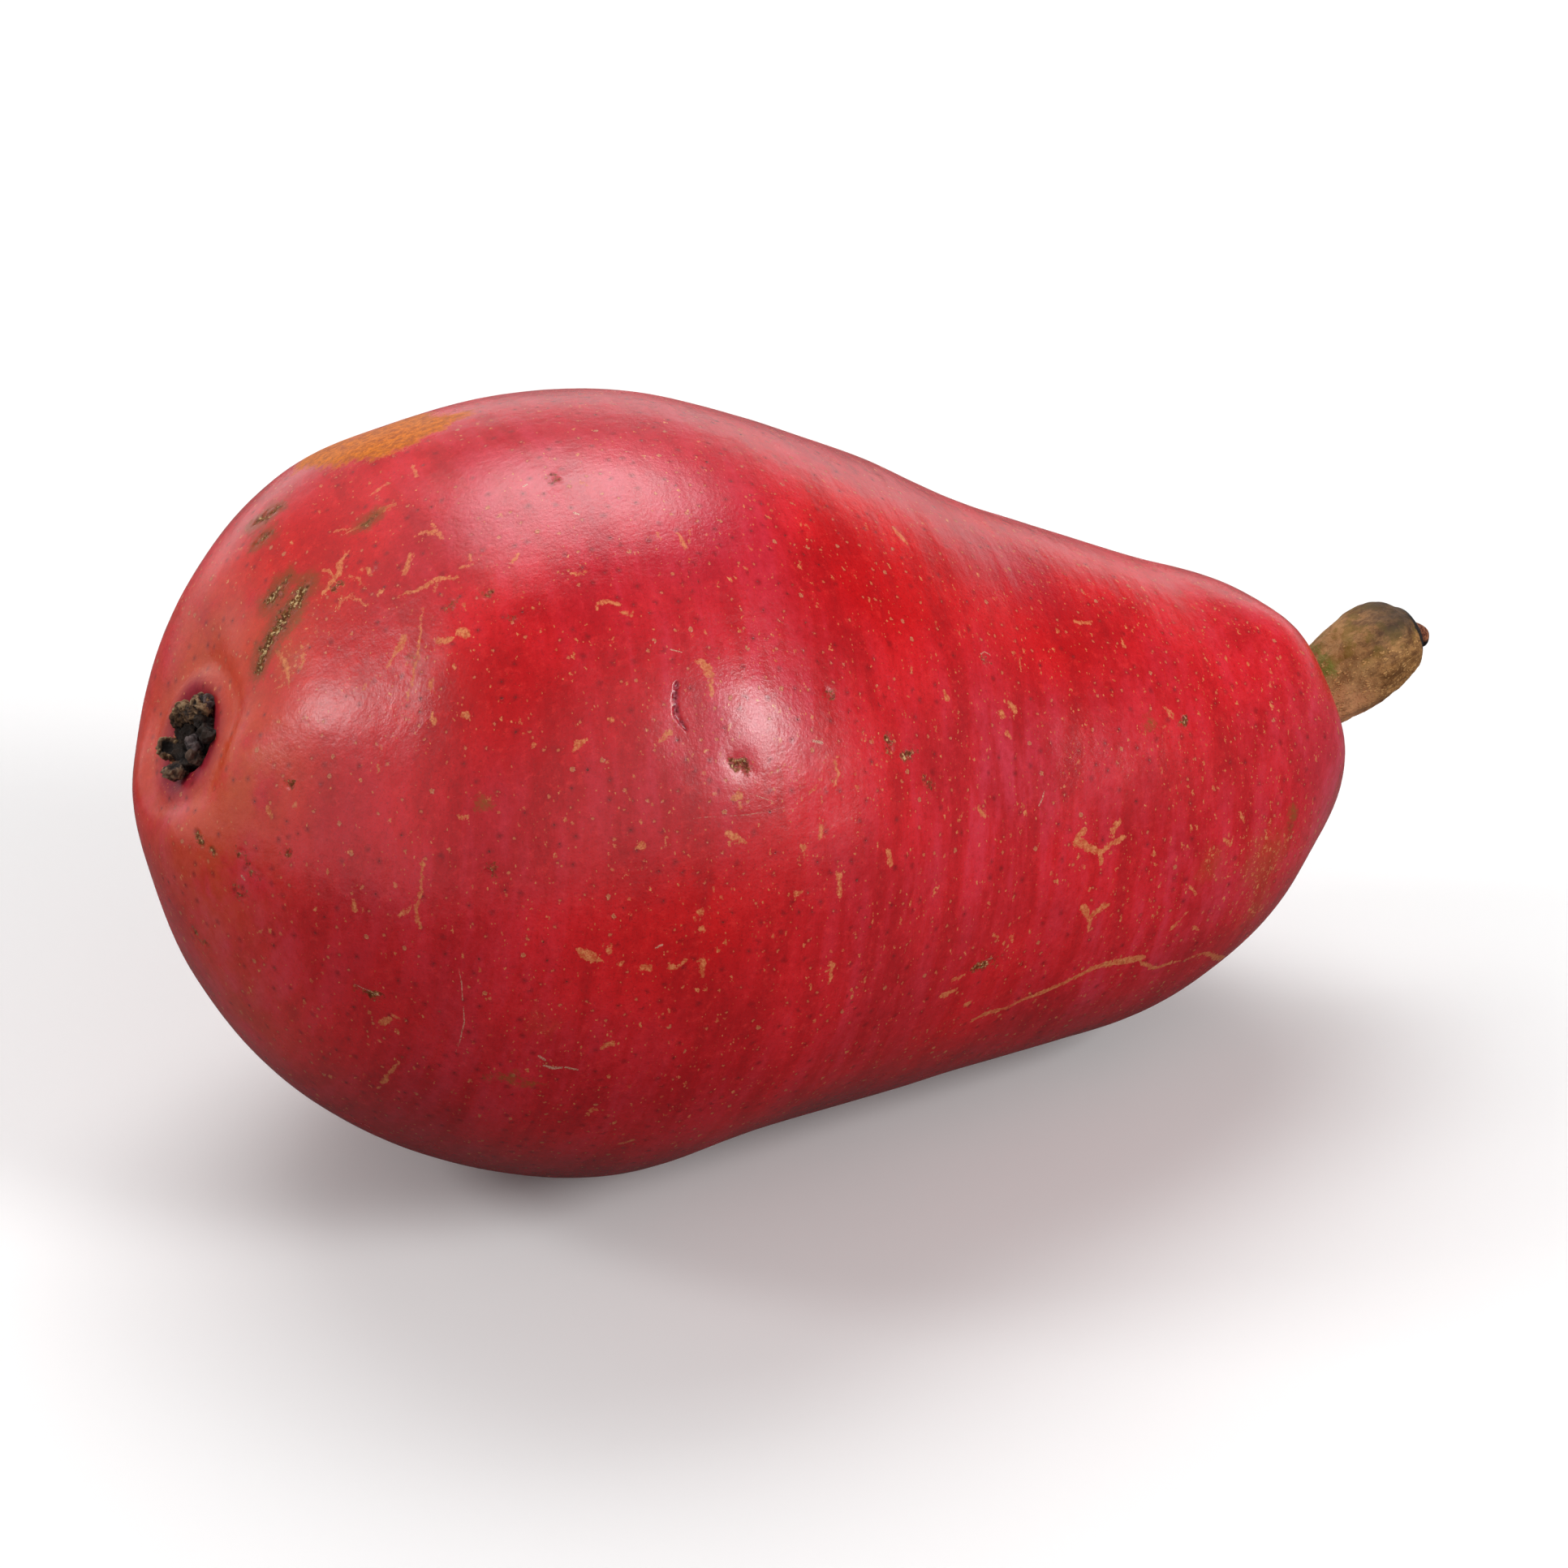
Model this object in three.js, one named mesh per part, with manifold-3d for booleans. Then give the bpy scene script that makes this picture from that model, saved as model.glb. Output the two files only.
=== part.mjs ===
// A ripe red pear, picked with its stem and lying on its side. Millimetres, +Z up.
// Its own line runs along +X, from the calyx, which is the dried flower end, to the stem. The line
// dips towards the neck, as a pear settles on its belly, and a small flat spot lies on the surface.
// Three pieces: the fruit, the woody stem sunk in its neck, and the dried calyx in its basin.
// The origin is on the surface that the pear lies on, under the middle of its bounding box.
import * as THREE from "three";
import { mergeVertices } from "three/addons/utils/BufferGeometryUtils.js";
import Module from "manifold-3d";

const wasm = await Module();
wasm.setup();

// Driving sizes
const FRUIT_LENGTH = 104.8; // calyx end to the neck's tip, along the fruit's own line
const BELLY_RADIUS = 34;
const NECK_RADIUS = 18.4; // where the neck is rounded off, next to the stem
const NECK_DIP = THREE.MathUtils.degToRad(12.2); // how far the fruit's line dips to the stem
const FLAT_DEPTH = 0.6; // how much of the belly its own weight has pressed flat
const SEAT_GAP = 0.3; // between the stem or the calyx and its seat in the flesh

const STEM_ROOT_RADIUS = 3.3;
const STEM_ROOT_DEPTH = 5.5; // how far the stem is sunk in the neck
const STEM_LENGTH = 11.0; // what stands out of the neck
const STEM_RADIUS = 4.0;

const CALYX_ROOT_RADIUS = 2.3;
const CALYX_ROOT_DEPTH = 2.4;
const BASIN_DEPTH = 2.2; // the hollow that the calyx stands in
const BASIN_RADIUS = 5.2;
const BASIN_DROP = 0.9; // how far the basin and the calyx sit below the middle of their end
const BASIN_ASIDE = 2.4; // and how far to its +Y side
const BASIN_SHIFT_SPREAD = 12;

// Shared helpers

// Welds a geometry's seams, drops its empty triangles and puts each vertex where move() says.
function reshape(geometry, move) {
  geometry.deleteAttribute("normal");
  geometry.deleteAttribute("uv");
  const welded = mergeVertices(geometry, 1e-4);
  const corners = welded.index.array;
  const kept = [];
  for (let i = 0; i < corners.length; i += 3) {
    const [a, b, c] = corners.subarray(i, i + 3);
    if (a !== b && b !== c && c !== a) kept.push(a, b, c);
  }
  welded.setIndex(kept);
  const places = welded.attributes.position;
  const vertex = new THREE.Vector3();
  for (let i = 0; i < places.count; i++) {
    vertex.fromBufferAttribute(places, i);
    places.setXYZ(i, ...move(vertex).toArray());
  }
  welded.computeVertexNormals();
  return welded;
}

// A turned shape about the X axis. The profile is a list of [along, radius] that starts and ends
// on the axis and runs along the outside towards +X.
function turned(profile, sides, move) {
  const outline = profile.map(([along, radius]) => new THREE.Vector2(radius, along));
  const lathe = new THREE.LatheGeometry(outline, sides);
  return reshape(lathe, (v) => move(new THREE.Vector3(v.y, -v.x, v.z)));
}

// A smooth bell, 1 at its middle and near 0 past twice its spread.
const bell = (distance, spread) => Math.exp(-((distance / spread) ** 2));

// How the pear lies: every piece is shaped along a straight line first, and then bent by this

// The line curves up at both ends, so the calyx and the stem sit above the middle.
const CALYX_LIFT = 4.0;
const CALYX_CURVE = 33; // the curve fades out this far from the calyx end
const STEM_LIFT = 8.6;
const STEM_CURVE = 48;
const ACROSS = new THREE.Vector3(0, 1, 0);

function lying(v) {
  const nearCalyx = Math.max(0, 1 - v.x / CALYX_CURVE);
  const nearStem = Math.max(0, 1 - (FRUIT_LENGTH - v.x) / STEM_CURVE);
  const shifted = bell(Math.hypot(v.y, v.z), BASIN_SHIFT_SPREAD) * nearCalyx ** 3;
  const aside = BASIN_ASIDE * shifted;
  const lift = CALYX_LIFT * nearCalyx ** 3 + STEM_LIFT * nearStem ** 3 - BASIN_DROP * shifted;
  const towardsStem = (3 * STEM_LIFT * nearStem ** 2) / STEM_CURVE;
  const towardsCalyx = (3 * CALYX_LIFT * nearCalyx ** 2) / CALYX_CURVE;
  return new THREE.Vector3(0, v.y, v.z)
    .applyAxisAngle(ACROSS, Math.atan(towardsCalyx - towardsStem))
    .add(new THREE.Vector3(v.x, aside, lift))
    .applyAxisAngle(ACROSS, NECK_DIP);
}

// The fruit: one solid of flesh and skin

// Half its outline from the basin's floor round to the hollow of the neck, as [along, radius].
const OUTLINE = [
  [BASIN_DEPTH, CALYX_ROOT_RADIUS + 0.8],
  [1.7, 4.1],
  [0.6, BASIN_RADIUS],
  [0.1, 6.2],
  [0.0, 7.2],
  [0.9, 10.6],
  [3.5, 15.8],
  [7.5, 21.6],
  [12.6, 26.7],
  [20.4, 31.0],
  [29.6, 33.5],
  [37.6, BELLY_RADIUS],
  [46.6, 32.5],
  [57.6, 29.3],
  [68.4, 25.7],
  [78.2, 23.2],
  [86.2, 21.0],
  [92.8, NECK_RADIUS],
  [98.6, 15.5],
  [102.6, 11.6],
  [FRUIT_LENGTH, 6.8],
  [FRUIT_LENGTH - 0.9, STEM_ROOT_RADIUS + 1.1],
];
const BELLY_MIDDLE = 37;
const NECK_MIDDLE = 90;
const FRUIT_RINGS = 50;
const FRUIT_SIDES = 64;

// Swellings and dents of its side. around is in degrees from its top, turning over the -Y side.
const SWELLINGS = [
  { along: 7, around: 310, height: 4.3, length: 9.5, width: 15 }, // the shoulder above the basin
  { along: 7, around: 135, height: -1.3, length: 8, width: 23 }, // the slope below the basin
  { along: 29, around: 98, height: -0.3, length: 9, width: 14 }, // the hollow before the ridge
  { along: 48, around: 84, height: 1.1, length: 8, width: 11 }, // the ridge on the belly's side
  { along: 62, around: 62, height: -0.7, length: 8, width: 10 }, // the dent behind that ridge
  { along: 38, around: 24, height: 0.6, length: 16, width: 11 }, // the shoulder along its top
  { along: 59, around: 330, height: 0.6, length: 6, width: 11 }, // the far shoulder of the neck
  { along: 51, around: 140, height: -1.6, length: 11, width: 11 }, // the waist, below
  { along: 54, around: 177, height: 0.7, length: 11, width: 13 }, // the underside it settled on
  { along: 86, around: 156, height: 1.3, length: 9, width: 9 }, // the neck's swell, below
  { along: 91, around: 356, height: -0.6, length: 10, width: 12 }, // the neck's flatter top
  { along: 101, around: 150, height: -1.5, length: 5, width: 15 }, // its end, below
  { along: 106, around: 335, height: 1.4, length: 4, width: 12 }, // the neck's shoulder, above
  { along: 43, around: 255, height: 0.4, length: 16, width: 14 }, // the far side's swell
];
const RIB_COUNT = 5; // faint ribs run out of the basin, one for each sepal
const RIB_HEIGHT = 0.25;

function swelling(along, around, radius) {
  let sum = 0;
  for (const { along: middle, around: side, height, length, width } of SWELLINGS) {
    const turn = THREE.MathUtils.euclideanModulo(around - side + 180, 360) - 180;
    sum += height * bell(along - middle, length) * bell(THREE.MathUtils.degToRad(turn) * radius, width);
  }
  return sum;
}

function fruitVertex(v) {
  const radius = Math.hypot(v.y, v.z);
  if (radius < 1e-3) return lying(v);
  const around = THREE.MathUtils.radToDeg(Math.atan2(-v.y, v.z));
  const heart = new THREE.Vector3(THREE.MathUtils.clamp(v.x, BELLY_MIDDLE, NECK_MIDDLE), 0, 0);
  const outwards = v.clone().sub(heart).normalize();
  const onSide = THREE.MathUtils.smoothstep(radius, BASIN_RADIUS, 3 * BASIN_RADIUS);
  const nearBasin = v.x < BELLY_MIDDLE ? bell(radius - 1.5 * BASIN_RADIUS, BASIN_RADIUS / 2) : 0;
  const rib = RIB_HEIGHT * nearBasin * Math.cos(THREE.MathUtils.degToRad(RIB_COUNT * around));
  return lying(v.clone().addScaledVector(outwards, rib + onSide * swelling(v.x, around, radius)));
}

function fruitGeometry() {
  const flesh = new THREE.CatmullRomCurve3(
    OUTLINE.map(([along, radius]) => new THREE.Vector3(along, radius, 0)),
    false,
    "centripetal",
  );
  const calyxSeat = CALYX_ROOT_RADIUS + SEAT_GAP;
  const calyxFloor = BASIN_DEPTH + CALYX_ROOT_DEPTH + SEAT_GAP;
  const stemSeat = STEM_ROOT_RADIUS + SEAT_GAP;
  const stemFloor = FRUIT_LENGTH - STEM_ROOT_DEPTH - SEAT_GAP;
  const profile = [
    [calyxFloor, 0],
    [calyxFloor, calyxSeat],
    [BASIN_DEPTH + 0.3, calyxSeat],
    ...flesh.getSpacedPoints(FRUIT_RINGS).map((p) => [p.x, p.y]),
    [FRUIT_LENGTH - 1.6, stemSeat],
    [stemFloor, stemSeat],
    [stemFloor, 0],
  ];
  return turned(profile, FRUIT_SIDES, fruitVertex);
}

// The stem: one thick woody stalk, rounded off, with the small scar where it left the twig

const STEM_PROFILE = [
  [-STEM_ROOT_DEPTH, 0],
  [-STEM_ROOT_DEPTH, STEM_ROOT_RADIUS],
  [-2.6, STEM_ROOT_RADIUS],
  [0.0, STEM_ROOT_RADIUS + 0.1],
  [1.6, STEM_RADIUS - 0.4],
  [3.4, STEM_RADIUS],
  [5.2, STEM_RADIUS],
  [7.0, STEM_RADIUS - 0.1],
  [8.6, STEM_RADIUS - 0.5],
  [9.6, STEM_RADIUS - 1.2],
  [10.1, STEM_RADIUS - 2.4],
  [10.3, STEM_RADIUS - 2.7],
  [10.5, STEM_RADIUS - 2.5],
  [STEM_LENGTH, STEM_RADIUS - 2.7],
  [STEM_LENGTH, 0],
];
const STEM_SIDES = 28;
const STEM_LEAN = 0.2; // how steeply it leans up, once out of the neck
const STEM_BEND = 2.0; // and over what length it bends that way
const STEM_NOD = 1.7; // how far its end then curves back down

function stemVertex(v) {
  const out = Math.max(0, v.x);
  const bend = Math.hypot(out, STEM_BEND);
  const nod = STEM_NOD * (out / STEM_LENGTH) ** 4;
  const nodding = (4 * STEM_NOD * (out / STEM_LENGTH) ** 3) / STEM_LENGTH;
  const slope = Math.atan((STEM_LEAN * out) / bend - nodding);
  return lying(
    new THREE.Vector3(0, v.y, v.z)
      .applyAxisAngle(ACROSS, -slope)
      .add(new THREE.Vector3(FRUIT_LENGTH + v.x, 0, STEM_LEAN * (bend - STEM_BEND) - nod)),
  );
}

// The calyx: a short dried tube with five curled sepals and the stubs of its stamens

const SEPAL_COUNT = 5;
const SEPAL = { length: 3.5, width: 2.7, thickness: 0.7 };
const SEPAL_TIP = 0.3; // its tip's width, of the whole
const SEPAL_CUP = 0.2; // how hollow it is across, towards the flower's middle
const STAMEN_COUNT = 6;
const STAMEN_RADIUS = 0.42;
const TUBE_HEIGHT = 0.8;
const TUBE_WALL = 0.9;
const TUBE_SIDES = 20;

// A repeatable run of numbers from 0 to 1.
function seeded(seed) {
  let state = seed;
  return () => {
    state = (state * 16807) % 2147483647;
    return state / 2147483647;
  };
}

function solid(geometry) {
  const vertProperties = new Float32Array(geometry.attributes.position.array);
  const triVerts = new Uint32Array(geometry.index.array);
  return new wasm.Manifold(new wasm.Mesh({ numProp: 3, vertProperties, triVerts }));
}

// A blade that stands up along +X from the tube's rim and curls over outwards, along +Y.
function sepalGeometry(curl, twist) {
  const blade = new THREE.BoxGeometry(SEPAL.length, SEPAL.thickness, SEPAL.width, 9, 2, 4);
  return reshape(blade, (v) => {
    const out = THREE.MathUtils.clamp(v.x / SEPAL.length + 0.5, 0, 1);
    const narrowing = THREE.MathUtils.lerp(SEPAL_TIP, 1, Math.sqrt(1 - out ** 2.2));
    const bend = curl * out;
    const face = v.y * (1 - 0.2 * out) - SEPAL_CUP * v.z ** 2;
    return new THREE.Vector3(
      (SEPAL.length * Math.sin(bend)) / curl - face * Math.sin(bend),
      (SEPAL.length * (1 - Math.cos(bend))) / curl + face * Math.cos(bend),
      v.z * narrowing + twist * out,
    );
  });
}

function calyxGeometry() {
  const random = seeded(11);
  const rim = CALYX_ROOT_RADIUS;
  const floor = CALYX_ROOT_DEPTH;
  const top = CALYX_ROOT_DEPTH + TUBE_HEIGHT;
  const tube = turned(
    [
      [0, 0],
      [0, rim],
      [top, rim],
      [top, rim - TUBE_WALL],
      [floor, rim - TUBE_WALL],
      [floor, 0],
    ],
    TUBE_SIDES,
    (v) => v,
  );
  let calyx = solid(tube);
  for (let i = 0; i < SEPAL_COUNT; i++) {
    const curl = 1.3 + 0.7 * random();
    const sepal = sepalGeometry(curl, 1.2 * (random() - 0.5));
    sepal.translate(floor, rim - TUBE_WALL / 2, 0);
    sepal.rotateX(((i + 0.3 * (random() - 0.5)) * 2 * Math.PI) / SEPAL_COUNT);
    calyx = calyx.add(solid(sepal));
  }
  for (let i = 0; i < STAMEN_COUNT; i++) {
    const height = 1.3 + 1.0 * random();
    const lean = 0.4 * (random() - 0.5);
    const filament = new THREE.CylinderGeometry(0.7 * STAMEN_RADIUS, STAMEN_RADIUS, height, 6);
    const stub = reshape(filament, (v) => {
      return new THREE.Vector3(v.y + height / 2, v.x + lean * (v.y + height / 2), -v.z);
    });
    stub.translate(CALYX_ROOT_DEPTH, i ? rim - TUBE_WALL - STAMEN_RADIUS : 0, 0);
    stub.rotateX((i * 2 * Math.PI) / (STAMEN_COUNT - 1));
    calyx = calyx.add(solid(stub));
  }
  const mesh = calyx.getMesh();
  const geometry = new THREE.BufferGeometry();
  geometry.setAttribute("position", new THREE.BufferAttribute(mesh.vertProperties, 3));
  geometry.setIndex(new THREE.BufferAttribute(mesh.triVerts, 1));
  const seat = BASIN_DEPTH + CALYX_ROOT_DEPTH;
  // Turned round by half a turn, because it opens towards -X.
  return reshape(geometry, (v) => lying(new THREE.Vector3(seat - v.x, -v.y, v.z)));
}

// The whole pear, lowered until its belly lies flat on the surface

const skin = new THREE.MeshStandardMaterial({ color: 0xb01f22, roughness: 0.35, metalness: 0 });
const wood = new THREE.MeshStandardMaterial({ color: 0x8a6a42, roughness: 0.75, metalness: 0 });
const driedFlower = new THREE.MeshStandardMaterial({ color: 0x3a2620, roughness: 0.85, metalness: 0 });

const fruit = new THREE.Mesh(fruitGeometry(), skin);
fruit.name = "fruit";
const stem = new THREE.Mesh(turned(STEM_PROFILE, STEM_SIDES, stemVertex), wood);
stem.name = "stem";
const calyx = new THREE.Mesh(calyxGeometry(), driedFlower);
calyx.name = "calyx";

const pear = new THREE.Group();
pear.name = "pear";
pear.add(fruit, stem, calyx);

const box = new THREE.Box3().setFromObject(pear);
const middle = box.getCenter(new THREE.Vector3());
for (const piece of pear.children) {
  piece.geometry.translate(-middle.x, -middle.y, -box.min.z - FLAT_DEPTH);
}
const belly = fruit.geometry.attributes.position;
for (let i = 0; i < belly.count; i++) belly.setZ(i, Math.max(0, belly.getZ(i)));
fruit.geometry.computeVertexNormals();

export default pear;
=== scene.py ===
import math

import bpy
import numpy as np
from mathutils import Matrix, Vector, kdtree, noise
from mathutils.bvhtree import BVHTree


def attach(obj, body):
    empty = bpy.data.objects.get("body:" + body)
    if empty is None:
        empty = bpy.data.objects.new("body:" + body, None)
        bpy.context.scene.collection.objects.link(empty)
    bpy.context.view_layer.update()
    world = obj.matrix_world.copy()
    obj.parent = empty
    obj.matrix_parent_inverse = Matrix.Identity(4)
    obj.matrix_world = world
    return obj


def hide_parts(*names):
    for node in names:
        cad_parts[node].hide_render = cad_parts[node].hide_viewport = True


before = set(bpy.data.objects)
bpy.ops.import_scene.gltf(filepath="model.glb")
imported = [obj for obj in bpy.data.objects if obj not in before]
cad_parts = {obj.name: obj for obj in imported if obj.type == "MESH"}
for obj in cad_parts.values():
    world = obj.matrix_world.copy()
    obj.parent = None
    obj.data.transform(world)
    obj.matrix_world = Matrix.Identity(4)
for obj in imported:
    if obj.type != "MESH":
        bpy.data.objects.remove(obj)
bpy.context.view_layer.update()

MM = 0.001

# The camera
# It stands at the pear's calyx end and looks a little down on it, as the photograph does. Marks
# on the skin are placed by where they show in its frame, and lie on the skin itself.
FRAME_WIDTH = 1932
CAMERA_AZIMUTH = math.radians(-22)
CAMERA_ELEVATION = math.radians(30)
CAMERA_DISTANCE = 475.8
CAMERA_TARGET = Vector((-3.34, -0.88, 30.44))
CAMERA_LENS = 125
SENSOR_WIDTH = 36

camera_right = Vector((math.cos(CAMERA_AZIMUTH), math.sin(CAMERA_AZIMUTH), 0))
camera_level = Vector((math.sin(CAMERA_AZIMUTH), -math.cos(CAMERA_AZIMUTH), 0))
to_camera = camera_level * math.cos(CAMERA_ELEVATION) + Vector((0, 0, math.sin(CAMERA_ELEVATION)))
camera_up = to_camera.cross(camera_right)
camera_place = CAMERA_TARGET + to_camera * CAMERA_DISTANCE
camera_turn = Matrix((camera_right, camera_up, to_camera)).transposed()
bpy.ops.object.camera_add(location=camera_place * MM, rotation=camera_turn.to_euler())
camera = bpy.context.object
camera.name = "camera"
camera.data.lens = CAMERA_LENS
camera.data.sensor_width = SENSOR_WIDTH
camera.data.clip_start = 0.01
bpy.context.scene.camera = camera


# The fruit: flesh and skin
# One grown piece, with the basin of the calyx at its wide end and the stem's seat in its neck.
# The skin is thin, waxy and smooth, with soft lumps, pores, and the scars that it grew over.
SKIN_ROUNDING = 2
QUAD_FACE_ANGLE = math.radians(50)  # how far apart two triangles may face and still become one quad
QUAD_SHAPE_ANGLE = math.radians(70)
OUTLINE_STEPS = 12  # of the search for the skin that is nearest to a line of sight past it
CALYX_HEART = Vector((-54.5, 1.8, 44.0))  # the middle of the basin
STEM_HEART = Vector((44.0, 0.0, 27.0))  # where the stem leaves the neck
BASIN_RIM = Vector((-55.74, 1.86, 44.63))  # the middle of the basin's rim
BASIN_OUT = Vector((-0.868, -0.0485, 0.495)).normalized()
BASIN_NEAR = Vector((0, 0, 1)).cross(BASIN_OUT).normalized()  # along its rim plane, to the camera


def select_only(piece):
    bpy.ops.object.select_all(action="DESELECT")
    piece.select_set(True)
    bpy.context.view_layer.objects.active = piece


def welded_copy(node, name):
    """A copy of a CAD node, its triangles merged, to be shaped into a piece of its own."""
    piece = bpy.data.objects.new(name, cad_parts[node].data.copy())
    bpy.context.collection.objects.link(piece)
    piece.data.materials.clear()
    select_only(piece)
    bpy.ops.mesh.customdata_custom_splitnormals_clear()
    bpy.ops.object.mode_set(mode="EDIT")
    bpy.ops.mesh.select_all(action="SELECT")
    bpy.ops.mesh.remove_doubles(threshold=0.001 * MM)
    bpy.ops.mesh.tris_convert_to_quads(face_threshold=QUAD_FACE_ANGLE, shape_threshold=QUAD_SHAPE_ANGLE)
    bpy.ops.object.mode_set(mode="OBJECT")
    return piece


def round_off(piece, levels):
    select_only(piece)
    bpy.ops.object.modifier_add(type="SUBSURF")
    rounding = piece.modifiers[-1]
    rounding.levels = rounding.render_levels = levels
    bpy.ops.object.modifier_apply(modifier=rounding.name)


def vectors_of(parts, key):
    """A vector for each of these points or faces, as an array."""
    values = np.empty(len(parts) * 3)
    parts.foreach_get(key, values)
    return values.reshape(-1, 3)


def places_of(piece):
    """The piece's points, in millimetres."""
    return vectors_of(piece.data.vertices, "co") / MM


def normals_of(piece):
    return vectors_of(piece.data.vertices, "normal")


def middles_of(piece):
    """The middles of the piece's faces, in millimetres."""
    return vectors_of(piece.data.polygons, "center") / MM


def put_places(piece, places):
    piece.data.vertices.foreach_set("co", (places * MM).ravel())
    piece.data.update()


def lumps(places, size, seed=0.0):
    """Smooth uneven relief, from -1 to 1, with lumps of about that size in millimetres."""
    shift = Vector((seed, 2.3 * seed, -1.7 * seed))
    return np.array([noise.noise(Vector(p) / size + shift) for p in places])


def painted(piece, name, values, on="POINT"):
    """Keeps a value for every point or face of the piece, for its material to read."""
    kind, key = ("FLOAT_VECTOR", "vector") if values.ndim == 2 else ("FLOAT", "value")
    layer = piece.data.attributes.new(name, kind, on)
    layer.data.foreach_set(key, values.astype(np.float32).ravel())


def painted_nearest(piece, name, spots, kinds):
    """Keeps the place and the kind of the nearest of these spots for every face of the piece."""
    tree = kdtree.KDTree(len(spots))
    for number, spot in enumerate(spots):
        tree.insert(spot, number)
    tree.balance()
    nearest = [tree.find(middle)[1] for middle in middles_of(piece)]
    painted(piece, name, spots[nearest], "FACE")
    painted(piece, name + "_kind", kinds[nearest], "FACE")


def bell(distance, spread):
    return np.exp(-((distance / spread) ** 2))


fruit = welded_copy("fruit", "pear_fruit")
round_off(fruit, SKIN_ROUNDING)
skin_tree = BVHTree.FromObject(fruit, bpy.context.evaluated_depsgraph_get())


def sight(x, y):
    """Which way the camera looks through this pixel of its frame."""
    focal = FRAME_WIDTH * CAMERA_LENS / SENSOR_WIDTH
    look = camera_right * (x - FRAME_WIDTH / 2) + camera_up * (FRAME_WIDTH / 2 - y)
    return (look / focal - to_camera).normalized()


def on_skin(x, y):
    """The point of the skin, in millimetres, that the camera sees at this pixel of its frame."""
    look = sight(x, y)
    hit = skin_tree.ray_cast(camera_place * MM, look)[0]
    if hit is None:  # past the outline: the point of the skin that is nearest to that line of sight
        hit = CAMERA_TARGET * MM
        for _ in range(OUTLINE_STEPS):
            reach = (hit - camera_place * MM).dot(look)
            hit = skin_tree.find_nearest(camera_place * MM + look * reach)[0]
    return np.array(hit) / MM


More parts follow.
